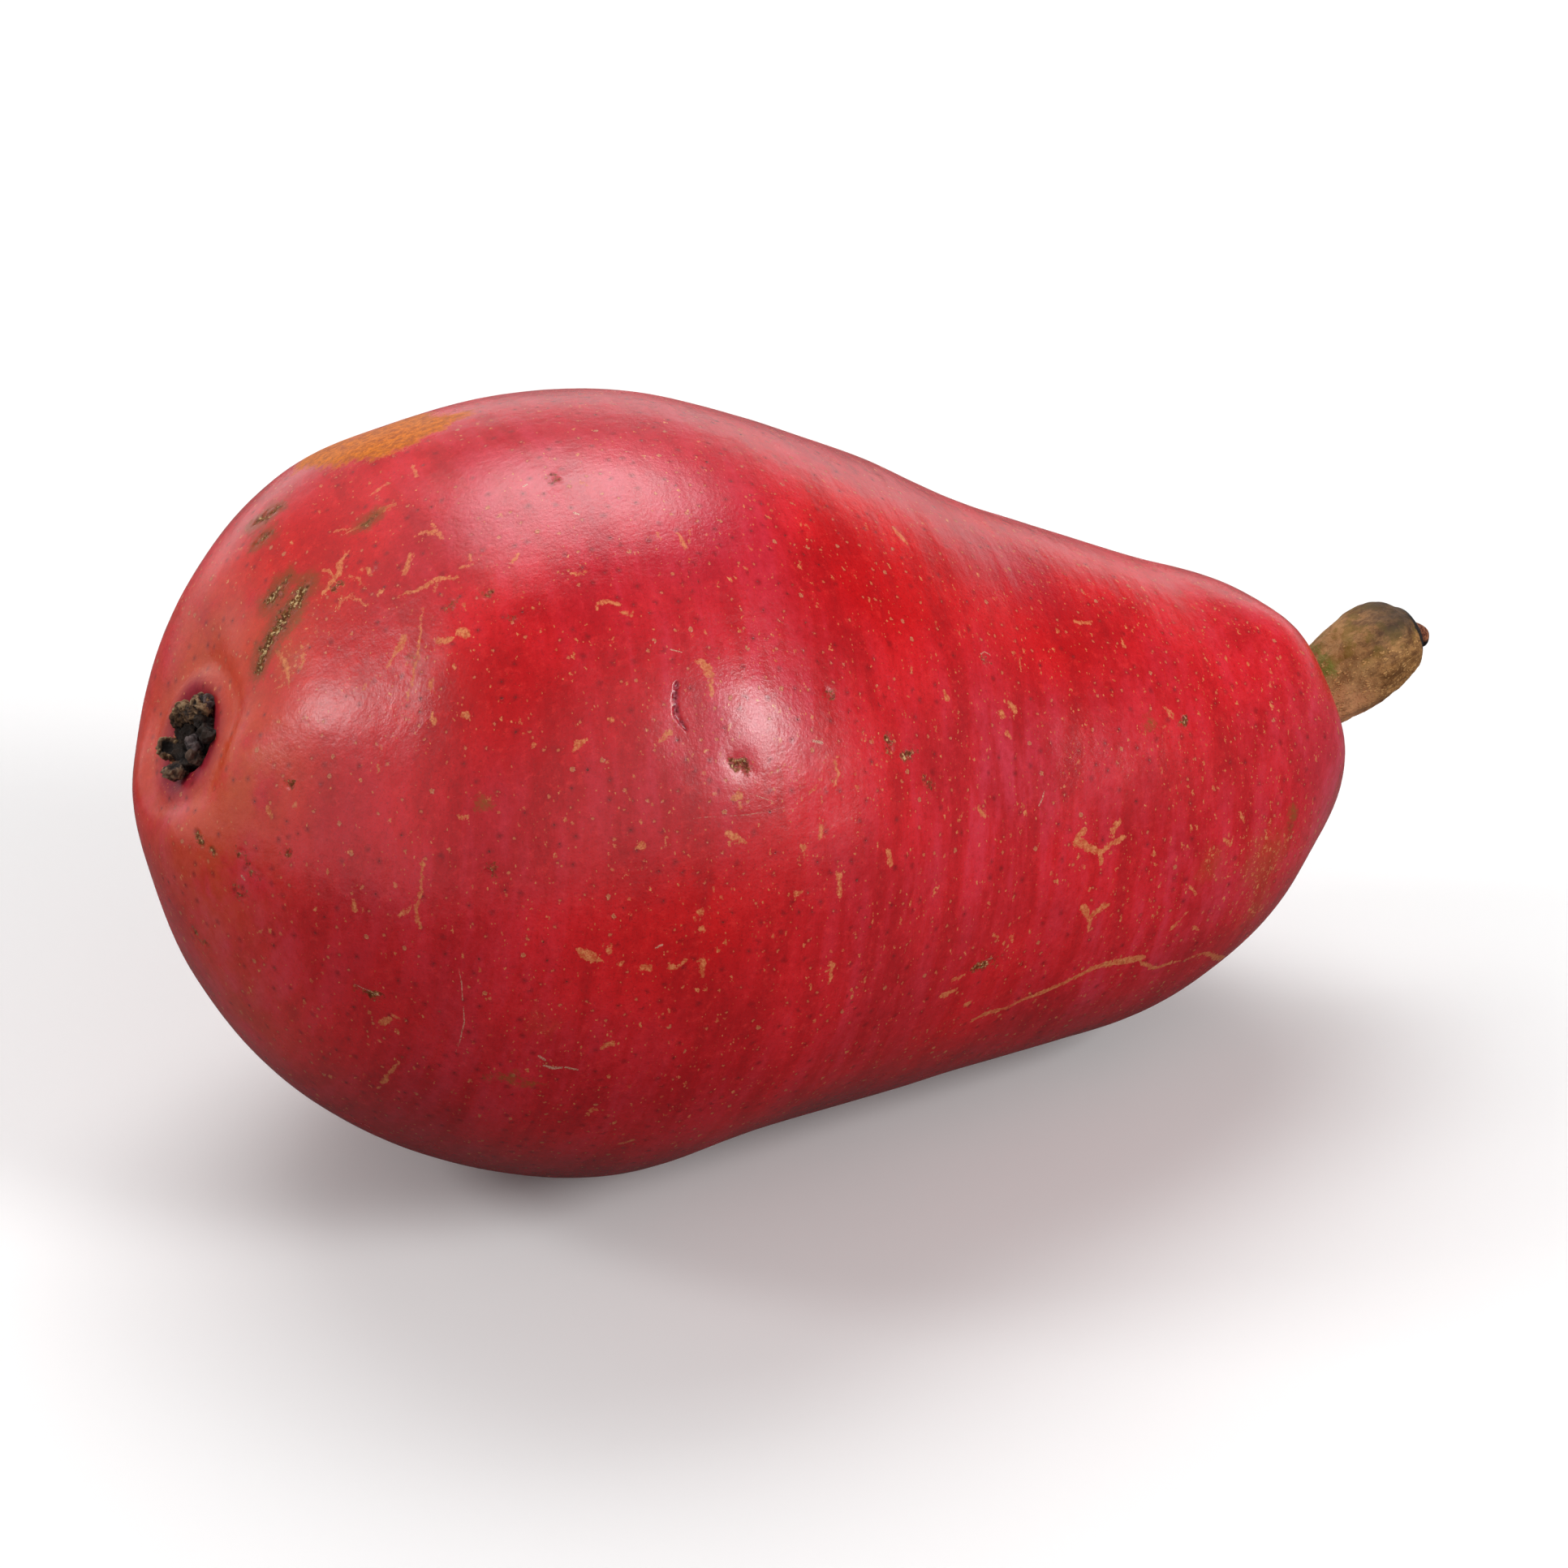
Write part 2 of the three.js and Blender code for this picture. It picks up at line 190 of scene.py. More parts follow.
# The scars and flecks that show, each as points of the frame, with half its width there in mm
TAN_SCARS = [
    # Under the neck: the long scar, the forked one and the antler above it
    [(1199, 1257, 0.25), (1212, 1250, 0.35), (1240, 1242, 0.2), (1260, 1232, 0.22), (1293, 1220, 0.3),
     (1320, 1207, 0.25), (1347, 1193, 0.28), (1373, 1186, 0.4), (1393, 1183, 0.5), (1408, 1180, 0.35)],
    [(1405, 1185, 0.2), (1422, 1193, 0.25), (1443, 1186, 0.25), (1454, 1184, 0.1)],
    [(1461, 1182, 0.1), (1483, 1174, 0.2), (1493, 1177, 0.25), (1506, 1181, 0.4)],
    [(1160, 1227, 0.3), (1178, 1219, 0.2)], [(1173, 1208, 0.15), (1188, 1201, 0.15)],
    [(1192, 1237, 0.35)], [(1335, 1117, 0.35), (1343, 1131, 0.3), (1342, 1148, 0.12)],
    [(1343, 1131, 0.25), (1360, 1117, 0.35), (1366, 1117, 0.2)],
    [(1337, 1023, 0.25), (1328, 1037, 0.5),
     (1345, 1045, 0.3), (1357, 1052, 0.3), (1357, 1064, 0.2)],
    [(1357, 1052, 0.3), (1370, 1040, 0.25), (1384, 1033, 0.35)],
    [(1372, 1036, 0.15), (1371, 1022, 0.3), (1380, 1013, 0.25)],
    # Neck and waist
    [(1101, 650, 0.15), (1109, 660, 0.35), (1118, 671, 0.15)],
    [(1256, 811, 0.12), (1259, 827, 0.08)], [(1163, 851, 0.15), (1166, 861, 0.3)],
    [(1234, 880, 0.35)], [(1243, 867, 0.25), (1250, 875, 0.4)],
    [(1240, 903, 0.3), (1244, 908, 0.25)], [(1324, 766, 0.15), (1333, 767, 0.2), (1345, 766, 0.15)],
    [(1381, 786, 0.12), (1386, 796, 0.2)], [(1434, 870, 0.12), (1444, 883, 0.2)],
    [(1206, 995, 0.2), (1212, 1005, 0.3)], [(1182, 1010, 0.2), (1186, 1003, 0.12)],
    # Round the groove and the dented spot
    [(862, 815, 0.35), (871, 826, 0.5), (875, 840, 0.3), (877, 857, 0.2)],
    [(812, 913, 0.2), (826, 903, 0.3)], [(904, 984, 0.3), (911, 981, 0.35)],
    [(910, 982, 0.15), (912, 996, 0.08)], [(895, 1026, 0.25), (906, 1032, 0.35), (918, 1039, 0.15)],
    [(1028, 939, 0.12), (1031, 953, 0.22), (1029, 967, 0.12)], [(996, 978, 0.1), (1012, 961, 0.1)],
    [(1013, 1017, 0.2), (1011, 1031, 0.2)], [(990, 1044, 0.35)],
    [(1034, 1077, 0.3), (1035, 1104, 0.2)], [(1094, 1050, 0.25), (1097, 1064, 0.25)],
    [(983, 1101, 0.3), (989, 1098, 0.15)],
    [(1150, 1104, 0.12), (1151, 1096, 0.2), (1157, 1092, 0.12)],
    # Belly, and the threads at its left
    [(1024, 1190, 0.4), (1022, 1210, 0.15)], [(1018, 1196, 0.12), (1030, 1193, 0.2)],
    [(522, 1062, 0.15), (517, 1104, 0.15), (513, 1119, 0.2), (518, 1143, 0.12)],
    [(492, 1128, 0.15), (510, 1116, 0.2)],
    [(521, 750, 0.1), (518, 780, 0.15), (515, 808, 0.15), (509, 838, 0.14), (502, 863, 0.08)],
    [(497, 789, 0.45), (487, 806, 0.15), (477, 822, 0.2)], [(540, 791, 0.25), (556, 787, 0.3)],
    [(566, 777, 0.35), (574, 781, 0.45)], [(534, 879, 0.15), (534, 890, 0.3)], [(573, 881, 0.35)],
    # Shoulder: the branching scar, and the twig and the star beside it
    [(429, 680, 0.2), (418, 694, 0.28), (418, 706, 0.35), (408, 720, 0.3), (396, 737, 0.12)],
    [(399, 702, 0.15), (412, 709, 0.2)],
    [(418, 751, 0.12), (422, 738, 0.2), (434, 735, 0.2), (443, 740, 0.15), (453, 747, 0.08)],
    [(431, 710, 0.12), (443, 714, 0.15), (447, 720, 0.1)],
    [(422, 659, 0.12), (450, 645, 0.2), (467, 633, 0.2), (479, 627, 0.25)],
    [(453, 701, 0.2), (456, 707, 0.25)],
    [(493, 734, 0.1), (517, 726, 0.2), (541, 714, 0.28), (563, 712, 0.15)],
    [(540, 716, 0.2), (536, 728, 0.15)], [(468, 731, 0.3)],
    [(507, 684, 0.2), (501, 700, 0.35), (498, 707, 0.15)],
    [(517, 657, 0.15), (536, 655, 0.3), (547, 664, 0.1)], [(536, 655, 0.15), (534, 646, 0.2)],
    [(569, 700, 0.2), (582, 694, 0.1), (577, 685, 0.1)], [(414, 655, 0.2), (432, 651, 0.1)],
    [(455, 638, 0.12), (470, 628, 0.3), (488, 622, 0.15)], [(457, 610, 0.12), (477, 596, 0.15)],
    [(509, 574, 0.15), (514, 588, 0.2)], [(532, 837, 0.15), (530, 848, 0.25)],
    [(448, 852, 0.2), (458, 840, 0.15)],
    # Under the sheen, and the row across the belly
    [(630, 692, 0.2), (638, 683, 0.15)], [(703, 707, 0.12), (712, 709, 0.15), (722, 704, 0.12)],
    [(705, 927, 0.1), (712, 917, 0.35), (723, 911, 0.12)], [(658, 919, 0.25)], [(752, 887, 0.25)],
    [(790, 1042, 0.3)], [(714, 1170, 0.3), (728, 1179, 0.5), (741, 1184, 0.15)],
    [(753, 1162, 0.1), (752, 1172, 0.25)], [(765, 1187, 0.2)],
    [(792, 1192, 0.35), (801, 1192, 0.3)], [(826, 1193, 0.25), (834, 1192, 0.1), (846, 1183, 0.15)],
    [(865, 1185, 0.3), (865, 1203, 0.15)], [(863, 1124, 0.3)], [(865, 1145, 0.3)],
    [(743, 1290, 0.2), (755, 1286, 0.3)],
    # Low on the left, and along the bottom
    [(472, 1334, 0.25), (480, 1322, 0.15), (491, 1309, 0.2)], [(472, 1260, 0.4), (480, 1256, 0.3)],
    [(483, 1250, 0.15), (491, 1254, 0.15)], [(435, 1108, 0.15), (438, 1119, 0.3)],
    [(764, 1410, 0.12), (780, 1405, 0.2)], [(725, 1374, 0.15), (729, 1367, 0.2), (735, 1368, 0.15)],
    # Over the basin
    [(341, 800, 0.12), (348, 812, 0.25), (356, 826, 0.35), (358, 848, 0.15)],
    [(371, 796, 0.15), (375, 806, 0.25), (374, 818, 0.25), (363, 830, 0.2)],
    [(353, 842, 0.15), (340, 850, 0.12), (333, 856, 0.1)], [(372, 777, 0.1), (381, 774, 0.1)],
    [(390, 774, 0.12), (392, 784, 0.15)], [(330, 997, 0.3), (334, 1006, 0.15)],
    # In the sheen, and the net of russet by the neck
    [(1443, 1144, 0.2), (1463, 1124, 0.1)], [(836, 658, 0.1), (844, 674, 0.22), (852, 657, 0.1)],
    [(716, 594, 0.12), (724, 597, 0.1)], [(810, 657, 0.12), (813, 664, 0.1)],
    [(737, 743, 0.15), (748, 741, 0.25), (763, 745, 0.15)], [(767, 755, 0.2), (777, 757, 0.15)],
    [(566, 1006, 0.2), (574, 1008, 0.15)],
    [(1508, 1034, 0.2), (1516, 1041, 0.15), (1520, 1030, 0.12)],
    [(1528, 1002, 0.2), (1533, 1012, 0.15)], [(1466, 1093, 0.2), (1474, 1101, 0.12)],
    [(1470, 1141, 0.15), (1476, 1146, 0.12)], [(1540, 1120, 0.15), (1547, 1125, 0.12)],
    [(1224, 1151, 0.15), (1230, 1155, 0.12)], [(1246, 1154, 0.15), (1248, 1160, 0.12)],
]
ROUGH_SCARS = [
    # The two lens-shaped ones high on the left
    [(312, 646, 0.15), (328, 635, 0.55), (345, 624, 0.15)],
    [(315, 670, 0.12), (323, 663, 0.4), (331, 657, 0.12)],
    # The rough scar over the basin
    [(331, 742, 0.4), (343, 728, 0.65), (352, 716, 0.3)],
    [(381, 719, 0.3), (366, 738, 0.6), (350, 760, 0.75)],
    [(350, 760, 0.75), (337, 780, 0.65), (326, 802, 0.6), (319, 824, 0.3)],
    # The streak on the shoulder
    [(447, 648, 0.02), (455, 641, 0.1), (463, 635, 0.02)],
]
DARK_SPECKS = [
    # Shoulder and sheen
    [(462, 700, 0.25)], [(416, 721, 0.28)], [(556, 746, 0.3)], [(600, 732, 0.22)],
    [(633, 763, 0.2)], [(680, 592, 0.3), (688, 593, 0.35)],
    # Neck and waist
    [(1201, 1193, 0.2), (1213, 1187, 0.4), (1224, 1182, 0.2)],
    [(1093, 908, 0.15), (1095, 921, 0.25)], [(1114, 931, 0.35), (1123, 927, 0.25)],
    [(1140, 961, 0.15), (1147, 968, 0.2)], [(1019, 853, 0.2), (1025, 856, 0.15)],
    # Left side
    [(601, 1070, 0.2), (607, 1074, 0.2)], [(440, 1218, 0.15), (455, 1225, 0.15), (468, 1228, 0.15)],
    # Neck, and the dented spot
    [(1458, 886, 0.35)], [(1213, 812, 0.2), (1217, 818, 0.15)],
    [(901, 937, 0.2), (913, 943, 0.42), (925, 950, 0.22)],
    # Under the basin
    [(243, 1028, 0.25), (245, 1035, 0.2)], [(250, 1038, 0.2)], [(261, 1049, 0.22)],
    [(297, 1052, 0.28)], [(305, 1067, 0.28)], [(318, 1077, 0.25)],
    [(295, 1102, 0.2), (301, 1103, 0.2)], [(290, 1093, 0.18)], [(354, 1050, 0.25)],
    [(357, 966, 0.2)], [(253, 1162, 0.25)], [(241, 1149, 0.2)],
]
GOLDEN_RUSSET = [
    [(392, 566, 1.2), (430, 555, 2.6), (480, 541, 3.6), (520, 527, 3.0), (566, 513, 1.2)],
    [(400, 556, 3.0), (440, 534, 3.0), (480, 515, 3.0)], [(455, 542, 3.0), (498, 523, 2.8)],
]
OLIVE_SPOTS = [
    [(1591, 1000, 0.6), (1592, 1015, 0.6)],
    [(606, 1326, 0.3), (630, 1328, 0.7), (652, 1334, 0.6), (664, 1338, 0.3)],
    [(1416, 889, 0.45), (1418, 897, 0.5)], [(597, 988, 0.6)], [(504, 806, 0.3), (510, 815, 0.35)],
    [(374, 748, 0.5), (362, 770, 0.4), (346, 796, 0.4)],
]
PALE_SCRATCHES = [
    [(826, 800, 0.05), (840, 804, 0.05)],
    [(827, 1011, 0.01), (868, 1007, 0.03), (921, 1004, 0.02), (968, 995, 0.01)],
    [(916, 975, 0.01), (940, 983, 0.03), (962, 991, 0.01)], [(1001, 913, 0.14), (1012, 915, 0.14)],
    [(1208, 806, 0.05), (1213, 803, 0.05), (1220, 807, 0.04)],
    [(1287, 975, 0.05), (1284, 985, 0.08), (1280, 993, 0.06)],
    [(565, 1190, 0.03), (569, 1212, 0.06), (570, 1232, 0.03)],
    [(571, 1240, 0.02), (572, 1260, 0.06), (566, 1285, 0.05), (560, 1300, 0.02)],
    [(670, 1313, 0.1), (682, 1316, 0.16), (697, 1315, 0.1), (711, 1318, 0.1)],
    [(664, 1301, 0.1), (671, 1306, 0.12)],
    [(437, 1213, 0.03), (455, 1221, 0.05), (468, 1227, 0.04)],
    [(298, 1079, 0.1), (302, 1084, 0.08)], [(279, 842, 0.1), (283, 850, 0.13), (280, 854, 0.08)],
    [(1214, 1184, 0.06), (1222, 1181, 0.1)], [(708, 631, 0.14), (713, 633, 0.12)],
    [(645, 599, 0.08), (649, 597, 0.08)], [(1458, 882, 0.08), (1461, 885, 0.08)],
    [(808, 1168, 0.06), (816, 1164, 0.1)],
]


STROKE_REACH = 3  # how far from a stroke it still counts, in millimetres


def nearest_strokes(places, scars):
    """How deep inside the nearest stroke of these scars each place is, in millimetres, below 0
    outside, and that stroke: where it starts and ends, and half its width at each."""
    inside = np.full(len(places), -9.0)
    starts, ends, widths = np.zeros((3, len(places), 3))
    for spine in scars:
        knots = [(on_skin(x, y), w) for x, y, w in spine]
        for (a, wide_a), (b, wide_b) in zip(knots, knots[1:] or knots):
            reach = STROKE_REACH + np.abs(b - a).max() / 2 + wide_a
            close = np.flatnonzero(np.abs(places - (a + b) / 2).max(1) < reach)
            run = b - a
            share = ((places[close] - a) @ run / max(run @ run, 1e-9)).clip(0, 1)
            gap = np.linalg.norm(places[close] - a - share[:, None] * run, axis=1)
            depth = wide_a + share * (wide_b - wide_a) - gap
            deeper = depth > inside[close]
            close = close[deeper]
            inside[close] = depth[deeper]
            starts[close], ends[close], widths[close] = a, b, (wide_a, wide_b, 0)
    return inside, starts, ends, widths


def distance_inside(places, scars):
    return nearest_strokes(places, scars)[0]


def painted_strokes(piece, name, scars):
    """Keeps the nearest stroke of these scars for every face of the piece."""
    _, starts, ends, widths = nearest_strokes(middles_of(piece), scars)
    painted(piece, name + "_start", starts, "FACE")
    painted(piece, name + "_end", ends, "FACE")
    painted(piece, name + "_width", widths, "FACE")


def refine(piece, chosen):
    """Splits the chosen faces of a piece in four."""
    mesh = piece.data
    mesh.vertices.foreach_set("select", np.zeros(len(mesh.vertices), bool))
    mesh.edges.foreach_set("select", np.zeros(len(mesh.edges), bool))
    mesh.polygons.foreach_set("select", chosen)
    select_only(piece)
    bpy.context.tool_settings.mesh_select_mode = (False, False, True)
    bpy.ops.object.mode_set(mode="EDIT")
    bpy.ops.mesh.subdivide(number_cuts=1)
    bpy.ops.object.mode_set(mode="OBJECT")


GROOVE = [[(834, 843, 0.2), (831, 862, 0.22), (834, 882, 0.25), (846, 899, 0.12)]]
FINE_FEATURES = ROUGH_SCARS + DARK_SPECKS + GROOVE
FINE_MARGINS = (0.7, 0.4, 0.25)  # how far round the fine features each splitting reaches
for margin in FINE_MARGINS:
    refine(fruit, distance_inside(middles_of(fruit), FINE_FEATURES) > -margin)

AXIS_FADE = 3  # this near to the pear's own line, its surroundings have no clear direction
places = places_of(fruit)
axis = np.array((STEM_HEART - CALYX_HEART).normalized())
from_calyx = places - np.array(CALYX_HEART)
along = from_calyx @ axis
outwards = from_calyx - along[:, None] * axis
radius = np.linalg.norm(outwards, axis=1)
outwards /= np.maximum(radius, 0.01)[:, None]
outwards *= np.clip(radius / AXIS_FADE, 0, 1)[:, None]
length = (STEM_HEART - CALYX_HEART).length

rough_scars = distance_inside(places, ROUGH_SCARS)
brown = np.maximum(rough_scars, distance_inside(places, DARK_SPECKS))
golden = distance_inside(places, GOLDEN_RUSSET)
olive = distance_inside(places, OLIVE_SPOTS)
groove = distance_inside(places, GROOVE)


def soft_step(share):
    share = np.clip(share, 0, 1)
    return share * share * (3 - 2 * share)


def near(x, y, spread):
    """1 at that point of the frame and fading out over the skin round it."""
    return bell(np.linalg.norm(places - on_skin(x, y), axis=1), spread)


def soft_spots(spots):
    """Adds up soft spots: each has a point of the frame, its reach in mm, and height or strength."""
    return sum(strength * near(x, y, reach) for x, y, reach, strength in spots)


# Sculpting: soft lumps, the knobs that catch the light, and the relief of the scars, all in mm.
# The knobs are the one by the groove with the hollow before it and its dented spot, the one by the
# basin, the pimple and the dip in the sheen, the neck round the stem, and the shoulder behind.
LUMPS = [(11, 3.0, 0.10), (4.5, 5.0, 0.03), (1.8, 9.0, 0.008)]  # size, seed and height
KNOBS = [
    (925, 885, 5.0, 0.3), (900, 840, 3.5, 0.1), (855, 900, 3.0, -0.2), (912, 941, 1.1, -0.2),
    (408, 888, 5.5, 0.42), (688, 592, 1.0, 0.15), (640, 640, 4.0, -0.12), (1600, 785, 5.0, 1.2),
    (1655, 900, 5.5, 0.9), (545, 505, 8.0, 0.5),
]
GROOVE_DEPTH = 0.14
SCAR_DEPTH = 0.06
SCAR_LUMPS = 0.12
FLAT_SPOT_MARGIN = 3  # up to this height above the flat spot the skin changes less and less

lift = sum(height * lumps(places, size, seed) for size, seed, height in LUMPS) + soft_spots(KNOBS)
in_groove = np.clip((groove + 0.1) / 0.3, 0, 1)
lift -= GROOVE_DEPTH * in_groove * (1 + 1.4 * lumps(places, 0.5, 6.0))
scarred = np.clip((brown + 0.3) / 0.5, 0, 1)
lift += scarred * (SCAR_LUMPS * lumps(places, 0.7, 8.0) - SCAR_DEPTH)
lift *= np.clip(places[:, 2] / FLAT_SPOT_MARGIN, 0, 1)
moved = places + normals_of(fruit) * lift[:, None]

# The basin fills up to a shallow bowl round the calyx, shallower still on the camera's side
BOWL_DEPTH = 0.9
BOWL_RADIUS = 2.6  # of its deepest ring
BOWL_SPREAD = 1.4
BOWL_INNER, BOWL_OUTER = 2.5, 7.2  # where it starts and where it has run out into the skin
BOWL_FADE = 2.6
BASIN_FLOOR = 3.6  # how far under the rim the floor is, which stays as it is
basin_out = np.array(BASIN_OUT)
from_rim = moved - np.array(BASIN_RIM)
basin_height = from_rim @ basin_out
basin_radius = np.linalg.norm(from_rim - basin_height[:, None] * basin_out, axis=1)
bowl = BOWL_DEPTH * bell(basin_radius - BOWL_RADIUS, BOWL_SPREAD)
bowl *= 1 - 0.5 * np.clip(from_rim @ np.array(BASIN_NEAR) / BOWL_RADIUS, 0, 1)
missing = -bowl - basin_height
filled = (missing + np.sqrt(missing ** 2 + 0.05)) / 2  # what is missing, with a soft start
filled *= np.clip((basin_radius - BOWL_INNER) / 0.15, 0, 1)
filled *= soft_step((BOWL_OUTER - basin_radius) / BOWL_FADE) * (basin_height > -BASIN_FLOOR)
moved += filled[:, None] * basin_out
moved[:, 2] = np.maximum(moved[:, 2], 0)
put_places(fruit, moved)
places = moved

# Pores: each small face of the skin knows the middle of the nearest one
PORE_GAP = 1.0  # no two are closer
PORES_KEPT = 0.34  # of all that would fit
random = np.random.default_rng(7)
pores = []
taken = {}
for i in random.permutation(len(places)):
    x, y, z = (places[i] // PORE_GAP).astype(int)
    cells = [(x + a, y + b, z + c) for a in (-1, 0, 1) for b in (-1, 0, 1) for c in (-1, 0, 1)]
    close = [j for cell in cells for j in taken.get(cell, ())]
    if not close or np.linalg.norm(places[close] - places[i], axis=1).min() > PORE_GAP:
        taken.setdefault((x, y, z), []).append(i)
        pores.append(i)
pores = [i for i in pores if random.random() < PORES_KEPT]
painted_nearest(fruit, "pore", places[pores], random.random(len(pores)))

# Where the skin's colour and marks change
painted_strokes(fruit, "tan", TAN_SCARS)
painted_strokes(fruit, "pale", PALE_SCRATCHES)
depths = {"groove": groove, "brown": brown, "stain": rough_scars, "golden": golden, "olive": olive}
for name, depth in depths.items():
    painted(fruit, name, depth)
RING_REACH = 10  # of the pattern that runs round the pear
round_about = RING_REACH * outwards
painted(fruit, "grain", np.column_stack([length - along, round_about[:, 1], round_about[:, 2]]))

# Purple shadows round the sepals: how much nearer to the basin's heart the skin seems there
BASIN_SHADOWS = [(252, 858, 1.8, 2.2), (265, 886, 1.4, 1.6), (230, 964, 1.8, 2.2)]
from_basin = np.linalg.norm(from_calyx, axis=1)
painted(fruit, "basin", from_basin - soft_spots(BASIN_SHADOWS))

# Orange blush: round the basin, and down the left side
BLUSH_REACH = 11
BLUSH = [
    (330, 790, 4, 0.3), (310, 950, 5, 0.6), (250, 780, 6, 0.3), (260, 1080, 6, 0.5),
    (300, 1240, 7, 0.4),
]
blush = 0.9 * bell(from_basin, BLUSH_REACH) + soft_spots(BLUSH)
painted(fruit, "blush", blush.clip(0, 1))

NECK_START, NECK_SPREAD = 0.45, 0.5  # as shares of the way from calyx to stem
neck = np.clip((along / length - NECK_START) / NECK_SPREAD, 0, 1)
painted(fruit, "neck", neck)

# Purple bloom, partly the wax's own bloom and partly painted reflection haze: more on the waist,
# the knob, the sheen, the left edge and the neck's right side, and less on the clear red between them
BLOOM_AND_PAINTED_HAZE = [
    (1250, 950, 11, 0.8), (890, 900, 8, 0.8), (720, 620, 12, 0.7), (190, 1000, 8, 0.7),
    (1640, 950, 7, 1.8), (1500, 1060, 9, 0.4), (1400, 1190, 8, 0.5), (275, 1140, 10, 1.0),
    (390, 700, 9, -0.9), (1080, 700, 9, -0.8), (600, 850, 8, -0.6), (1300, 800, 7, -0.7),
    (830, 1150, 10, -0.4),
]
bloom_and_painted_haze = 0.45 + 0.35 * lumps(places, 16, 8.0) + soft_spots(BLOOM_AND_PAINTED_HAZE)
painted(fruit, "bloom_and_painted_haze", bloom_and_painted_haze.clip(0, 1.7))

# Polish of the wax: above 0 in the sheen, on the knob, in the neck's valley and along the edges,
# and below 0 where the skin beside them is dull. Where it is above 0 it also lays a painted purple
# sheen tint on the skin.
GLOSS_AND_SHEEN_TINT = [
    (700, 605, 9, 0.8), (870, 620, 8, 0.7), (925, 890, 4.5, 0.7), (1250, 700, 5, 0.5),
    (760, 495, 8, 0.5), (1000, 560, 6, 0.3), (1640, 950, 6, 0.6), (330, 680, 6, -0.7),
    (1400, 715, 6, -0.5), (1010, 970, 4, -0.5), (1060, 700, 7, -0.5), (560, 790, 6, -0.5),
    (300, 820, 4, -0.5),
]
painted(fruit, "gloss_and_sheen_tint", soft_spots(GLOSS_AND_SHEEN_TINT).clip(-1, 1))

# Flecks of russet: most on the right side and the top of the neck, fewest by the basin
FLECKS = [
    (1540, 1040, 7, 0.7), (1100, 950, 12, 0.15), (800, 1250, 12, 0.2), (1250, 640, 9, 0.35),
    (380, 960, 8, -0.25), (720, 620, 8, -0.3),
]
flecks = 0.34 + 0.35 * neck + soft_spots(FLECKS)
painted(fruit, "flecks", flecks.clip(0.06, 1.2))

# Ripples: over the valley and the top of the neck, and faint in the sheen
RIPPLES = [
    (1190, 660, 9, 1.0), (1380, 720, 9, 0.8), (1000, 590, 9, 0.5), (960, 980, 5, 0.2),
    (760, 600, 12, 0.35),
]
painted(fruit, "ripples", soft_spots(RIPPLES).clip(0, 1))

# Nets of russet: on the right side of the neck, over the basin and low on the belly
RUSSET_NET = [
    (1560, 1060, 3.5, 1.0), (1490, 1065, 2.0, 0.8), (1545, 1125, 2.5, 0.7), (360, 815, 2.0, 0.9),
    (400, 735, 3.0, 0.5), (665, 1262, 1.6, 0.6),
]
painted(fruit, "net", soft_spots(RUSSET_NET).clip(0, 1))


class Nodes:
    """A node tree that is built node by node."""

    def __init__(self, tree):
        self.tree = tree

    def add(self, kind, sockets=(), **settings):
        node = self.tree.nodes.new("ShaderNode" + kind)
        for setting, value in settings.items():
            setattr(node, setting, value)
        for socket, value in dict(sockets).items():
            self.set(node.inputs[socket], value)
        return node

    def set(self, socket, value):
        if isinstance(value, bpy.types.NodeSocket):
            self.tree.links.new(value, socket)
        else:
            socket.default_value = value

    def maths(self, operation, *values):
        return self.add("Math", dict(enumerate(values)), operation=operation).outputs[0]

    def plus(self, one, other):
        return self.maths("ADD", one, other)

    def minus(self, one, other):
        return self.maths("SUBTRACT", one, other)

    def times(self, one, other):
        return self.maths("MULTIPLY", one, other)

    def scaled(self, value, factor, start):
        """The value times the factor, on top of the start."""
        return self.maths("MULTIPLY_ADD", value, factor, start)

    def larger(self, one, other):
        return self.maths("MAXIMUM", one, other)

    def vector(self, operation, *values):
        node = self.add("VectorMath", dict(enumerate(values)), operation=operation)
        return node.outputs["Value" if operation in ("DOT_PRODUCT", "DISTANCE") else "Vector"]

    def rise(self, value, start, end, low=0.0, high=1.0, way="SMOOTHSTEP"):
        """Goes from low to high, smoothly unless told, as the value goes from start to end."""
        sockets = {"Value": value, "From Min": start, "From Max": end, "To Min": low, "To Max": high}
        return self.add("MapRange", sockets, interpolation_type=way).outputs[0]


